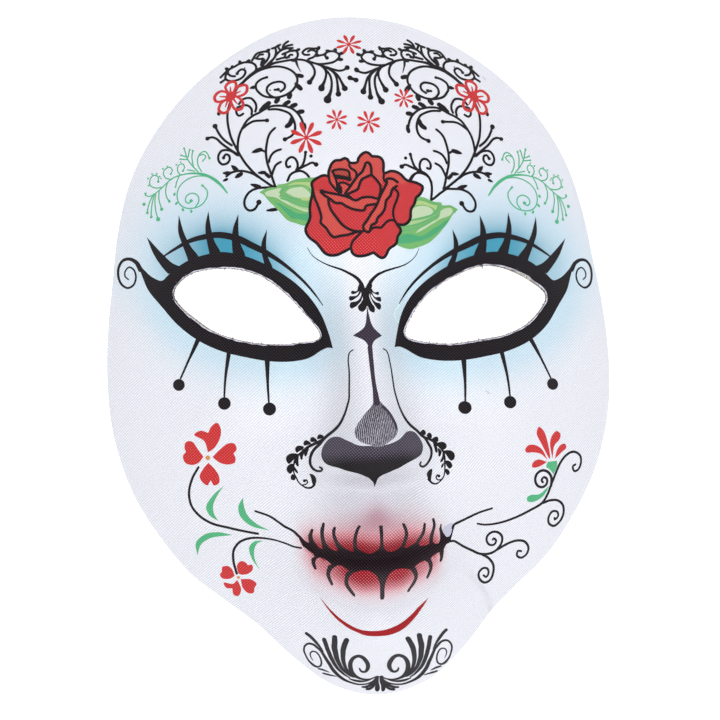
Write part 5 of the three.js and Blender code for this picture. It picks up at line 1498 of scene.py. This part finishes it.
def clothFinish(name):
    f, s = Finish(name), clothSettings
    threads = f.node("ShaderNodeUVMap", {"uv_map": "threads"})
    across = f.node("ShaderNodeSeparateXYZ", None, {0: threads}, "X")
    up = across.beside("Y")
    waves = f.noise(threads, s["waveScale"], 2.0, "2D")
    grain = f.noise(threads, s["grainScale"], 1.0, "2D")

    def lines(key):
        acrossRate, upRate, bend = s[key]
        turn = 2 * math.pi
        return across * (turn * acrossRate) + up * (turn * upRate) + waves * bend

    twill, cross = lines("twill").wave(), lines("cross").wave()
    strand = (lines("strand") + grain * 5.0).wave()
    dots = twill * cross
    ink = f.attribute("ink", "Color")
    cover = ink.beside("Alpha")
    lid = f.node("ShaderNodeSeparateColor", None, {0: f.attribute("lidSpray", "Color")}, "Red")
    # the second spray's green is Grey with painted shade round the nose, chin and jaw; its blue is the lip's
    # bow with a faint painted shade beside the lower lip
    lip = f.node("ShaderNodeSeparateColor", None, {0: f.attribute("lipSprayAndShade", "Color")}, "Red")
    lidDeep, coarse = lid.beside("Green"), lid.beside("Blue")
    greyAndShade, mauveAndShade = lip.beside("Green"), lip.beside("Blue")
    weave = twill * (1 - (1 - cross) * (coarse * 0.4 + 0.3)) * (grain * 1.8 + 0.12)
    mottle = f.noise(f.node("ShaderNodeTexCoord", None, None, "Object"), s["mottleScale"], 3.0)
    base = f.mix(mottle * 0.5, rgba(s["white"]), rgba(tuple(v - 7 for v in s["white"])))
    speckle = weave * 0.3 + 0.85
    base = f.mix(lid * speckle, base, rgba(s["lidPale"]))
    base = f.mix(lidDeep * speckle, base, rgba(s["lidDeep"]))
    # the lip's bow, with a faint painted shade beside the lower lip
    base = f.mix(mauveAndShade * speckle, base, rgba(s["mauveAndShade"]))
    dotted = lip * (1.1 - dots * 0.5)
    base = f.mix((dotted * 2.2).clipped(), base, rgba(s["lipPink"]))
    base = f.mix(((dotted - 0.36) * 2.3).clipped(), base, rgba(s["lipDeep"]))
    # Grey, partly printed spray and partly painted shade round the nose, chin and jaw
    base = f.mix(greyAndShade * speckle, base, rgba(s["greyAndShade"]))
    # bare threads show as dots through a thick ink and as strands through a thin one
    show = f.attribute("threadShow")
    thread = dots ** 1.2 + (strand ** 3.0 - dots ** 1.2) * ((show - 0.25) * 3.0).clipped()
    painted = f.mix(cover, base, f.mix(show * thread, ink, rgba(s["bareThread"])))
    shade = (1 - weave) * (coarse * 0.4 + 1) * (1 - cover * 0.7) * s["weaveShade"]
    f.set(Base_Color=f.mix(shade, painted, rgba(s["threadShadow"]), "MULTIPLY"),
          Roughness=s["roughness"] - cover * 0.14, Normal=f.bump(weave, 0.4, s["weaveDepth"] * mm),
          Specular_IOR_Level=0.07, Sheen_Weight=0.02, Sheen_Roughness=0.5)
    return f.material


def shellFinish(name):
    f, s = Finish(name), shellSettings
    place = f.node("ShaderNodeTexCoord", None, None, "Object")
    cloud, grain = f.noise(place, 22.0, 4.0), f.noise(place, 900.0, 2.0)
    sheet = f.mix(cloud, rgba(s["colour"]), rgba(tuple(v - 14 for v in s["colour"])))
    # painted shade of the cut wall, darkest right at the eye holes' edges
    f.set(Base_Color=f.mix(f.attribute("cutEdge") ** 5.0, sheet, rgba(s["edgeShadeColour"])),
          Roughness=s["roughness"] + cloud * 0.2, Normal=f.bump(grain, 0.25, 0.1 * mm))
    return f.material


def threadFinish(name):
    f, s = Finish(name), fraySettings
    patch = f.noise(f.node("ShaderNodeTexCoord", None, None, "Object"), 1300.0, 1.0)
    dyed = ((patch - (1 - s["dyedShare"])) * 12.0 + 0.5).clipped()
    f.set(Base_Color=f.mix(dyed, rgba(s["bare"]), rgba(s["dyed"])), Roughness=s["roughness"] - patch * 0.2)
    return f.material


# Threads one step apart along a path, each leaning the way the path's "outward" attribute points
def threadTree(name, finish):
    tree = bpy.data.node_groups.new(name, "GeometryNodeTree")
    sockets = tree.interface
    sockets.new_socket("Geometry", in_out="INPUT", socket_type="NodeSocketGeometry")
    for label, kind in (("Spacing", "Float"), ("Length", "Float"), ("Radius", "Float"),
                        ("Spread", "Vector"), ("Share", "Float"), ("Seed", "Int")):
        sockets.new_socket(label, in_out="INPUT", socket_type="NodeSocket" + kind)
    sockets.new_socket("Geometry", in_out="OUTPUT", socket_type="NodeSocketGeometry")
    t = Tree(tree)
    start = t.node("NodeGroupInput").socket.node
    given = {socket.name: Socket(t, socket) for socket in start.outputs if socket.name}
    curve = t.node("GeometryNodeMeshToCurve", None, {"Mesh": given["Geometry"]})
    steps = t.node("GeometryNodeResampleCurve", {"mode": "LENGTH"},
                   {"Curve": curve, "Length": given["Spacing"]})
    outward = t.node("GeometryNodeInputNamedAttribute", {"data_type": "FLOAT_VECTOR"}, {"Name": "outward"})
    back = t.node("ShaderNodeVectorMath", {"operation": "SCALE"}, {0: given["Spread"], "Scale": -1.0})
    lean = t.node("FunctionNodeRandomValue", {"data_type": "FLOAT_VECTOR"},
                  {0: back, 1: given["Spread"], "Seed": given["Seed"]})
    aim = t.node("ShaderNodeVectorMath", {"operation": "ADD"}, {0: outward, 1: lean})
    turned = t.node("FunctionNodeAlignRotationToVector", {"axis": "Z"}, {"Vector": aim})
    size = t.node("FunctionNodeRandomValue", {"data_type": "FLOAT"},
                  {2: 0.35, 3: 1.0, "Seed": given["Seed"]}, 1)
    kept = t.node("FunctionNodeRandomValue", {"data_type": "BOOLEAN"},
                  {"Probability": given["Share"], "Seed": given["Seed"]}, 3)
    thread = t.node("GeometryNodeMeshCone", {"fill_type": "NGON"},
                    {"Vertices": 5, "Radius Top": 0.02 * mm, "Radius Bottom": given["Radius"],
                     "Depth": given["Length"]})
    placed = t.node("GeometryNodeInstanceOnPoints", None, {
        "Points": steps, "Selection": kept, "Instance": thread, "Rotation": turned, "Scale": size})
    solid = t.node("GeometryNodeRealizeInstances", None, {0: placed})
    dressed = t.node("GeometryNodeSetMaterial", None, {"Geometry": solid, "Material": finish})
    tree.links.new(dressed.socket, tree.nodes.new("NodeGroupOutput").inputs["Geometry"])
    return tree


# Paths of (x, y, lean across, lean up), in millimetres, turned into threads on the cloth's front
def threadPiece(name, paths, tree, values):
    places, edges, leans = [], [], []
    for path, closed in paths:
        first = len(places)
        for x, y, across, up in path:
            z = layerHeight(np.array([x]), np.array([y]), fraySettings["depth"])[0]
            places.append((x * mm, y * mm, float(z) * mm))
            leans.append((across, up, fraySettings["rise"]))
        count = len(path)
        edges += [(first + k, first + (k + 1) % count) for k in range(count if closed else count - 1)]
    mesh = bpy.data.meshes.new(name + "Path")
    mesh.from_pydata(places, edges, [])
    outward = mesh.attributes.new("outward", "FLOAT_VECTOR", "POINT")
    outward.data.foreach_set("vector", np.array(leans).reshape(-1))
    piece = addObject(name, mesh)
    modifier = piece.modifiers.new("threads", "NODES")
    modifier.node_group = tree
    for item in tree.interface.items_tree:
        if item.name in values:
            modifier[item.identifier] = values[item.name]
    bpy.context.view_layer.update()
    result = bpy.data.meshes.new_from_object(piece.evaluated_get(bpy.context.evaluated_depsgraph_get()))
    piece.modifiers.remove(modifier)
    piece.data = result
    return piece


def holePath(side):
    loop = evenlySpaced(smoothPath(faceForm[side], closed=True, gap=0.3), fraySettings["pathStep"])
    inward = loop.mean(0) - loop
    inward /= np.linalg.norm(inward, axis=1)[:, None]
    return [(x, y, a, b) for (x, y), (a, b) in zip(loop, inward)], True


fraySettings = {
    "bare": (222, 220, 236), "dyed": (52, 48, 60), "dyedShare": 0.6, "roughness": 0.8,
    "pathStep": 0.8, "depth": 0.05,    # of the threads' roots, mm
    "rise": 0.25,                      # lean out of the cloth for a lean of 1 along it
    "edge": {"Spacing": 0.5 * mm, "Length": 1.4 * mm, "Radius": 0.18 * mm, "Spread": (1.3, 1.3, 0.3),
             "Share": 0.75, "Seed": 4},
    "tuft": {"Spacing": 0.3 * mm, "Length": 1.8 * mm, "Radius": 0.18 * mm, "Spread": (0.3, 0.3, 0.3),
             "Share": 1.0, "Seed": 9},
}
threadEnds = threadFinish("threadEnds")
threads = threadTree("threadsAlongPath", threadEnds)
frayed = [
    threadPiece("frayed_edges", [holePath("leftEye"), holePath("rightEye")], threads, fraySettings["edge"]),
    threadPiece("loose_thread", [([(40.3, 27.7, -0.1, -1), (41.3, 27.7, 0.1, -1)], False)], threads,
                fraySettings["tuft"])]
report(f"threads: {[len(piece.data.polygons) for piece in frayed]} faces")

cloth.data.materials.append(clothFinish("printedTwill"))
shell.data.materials.append(shellFinish("formedSheet"))
report("finishes made")

for piece, node, slot in ((cloth, "printed_cloth", "cloth"), (shell, "backing_shell", "backing"),
                          *((piece, "printed_cloth", "cloth") for piece in frayed)):
    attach(piece, "root")
    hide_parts(node)

# Floor, lights and camera
studio = {
    "floorSize": 6.0, "floorColour": (190, 190, 190), "floorGlow": 0.86, "world": 0.318,
    "lights": {"above": ((0.0, 0.0, 1.6), 10.1), "right": ((1.1, 0.0, 0.9), 5.2), "left": ((-1.1, 0.0, 0.9),
        4.6), "top": ((0.0, 1.1, 0.9), 6.3), "bottom": ((0.0, -1.1, 0.9), 7.5)},
    "lightSize": 0.6, "lightAim": (0, 0, 0.03), "distance": 1.2, "yaw": 2.5, "roll": 3.2, "focal": 173.9,
    "shiftRight": 0.00069, "shiftUp": -0.00141,
}


def makeFloor():
    half = studio["floorSize"] / 2
    mesh = bpy.data.meshes.new("floor")
    corners = [(-half, -half, 0), (half, -half, 0), (half, half, 0), (-half, half, 0)]
    mesh.from_pydata(corners, [], [(0, 1, 2, 3)])
    f = Finish("paleFloor")
    f.set(Base_Color=rgba(studio["floorColour"]), Roughness=0.9, Specular_IOR_Level=0.1,
          Emission_Color=(1.0, 1.0, 1.0, 1.0), Emission_Strength=studio["floorGlow"])
    mesh.materials.append(f.material)
    addObject("floor", mesh)


def areaLight(name, place, power):
    light = bpy.data.lights.new(name, "AREA")
    light.energy, light.size = power, studio["lightSize"]
    holder = addObject(name, light)
    holder.location = place
    holder.rotation_euler = (Vector(studio["lightAim"]) - Vector(place)).to_track_quat("-Z", "Y").to_euler()


def makeCamera():
    yaw, turn = math.radians(studio["yaw"]), math.radians(studio["roll"])
    outward = Vector((-math.sin(yaw), 0, math.cos(yaw)))
    right = Vector((0, 1, 0)).cross(outward).normalized()
    up = outward.cross(right)
    photoRight = right * math.cos(turn) - up * math.sin(turn)
    photoUp = up * math.cos(turn) + right * math.sin(turn)
    camera = bpy.data.cameras.new("camera")
    camera.sensor_width, camera.lens, camera.clip_end = 36.0, studio["focal"], 20.0
    holder = addObject("camera", camera)
    place = outward * studio["distance"] + photoRight * studio["shiftRight"] + photoUp * studio["shiftUp"]
    axes = Matrix((photoRight, photoUp, outward)).transposed()
    holder.matrix_world = Matrix.Translation(place) @ axes.to_4x4()
    bpy.context.scene.camera = holder


makeFloor()
for name, (place, power) in studio["lights"].items():
    areaLight(name, place, power)
world = bpy.data.worlds.new("studio")
world.use_nodes = True
background = world.node_tree.nodes["Background"]
background.inputs["Color"].default_value = (1, 1, 1, 1)
background.inputs["Strength"].default_value = studio["world"]
bpy.context.scene.world = world
bpy.context.scene.view_settings.view_transform = "Standard"
makeCamera()
report("studio set")
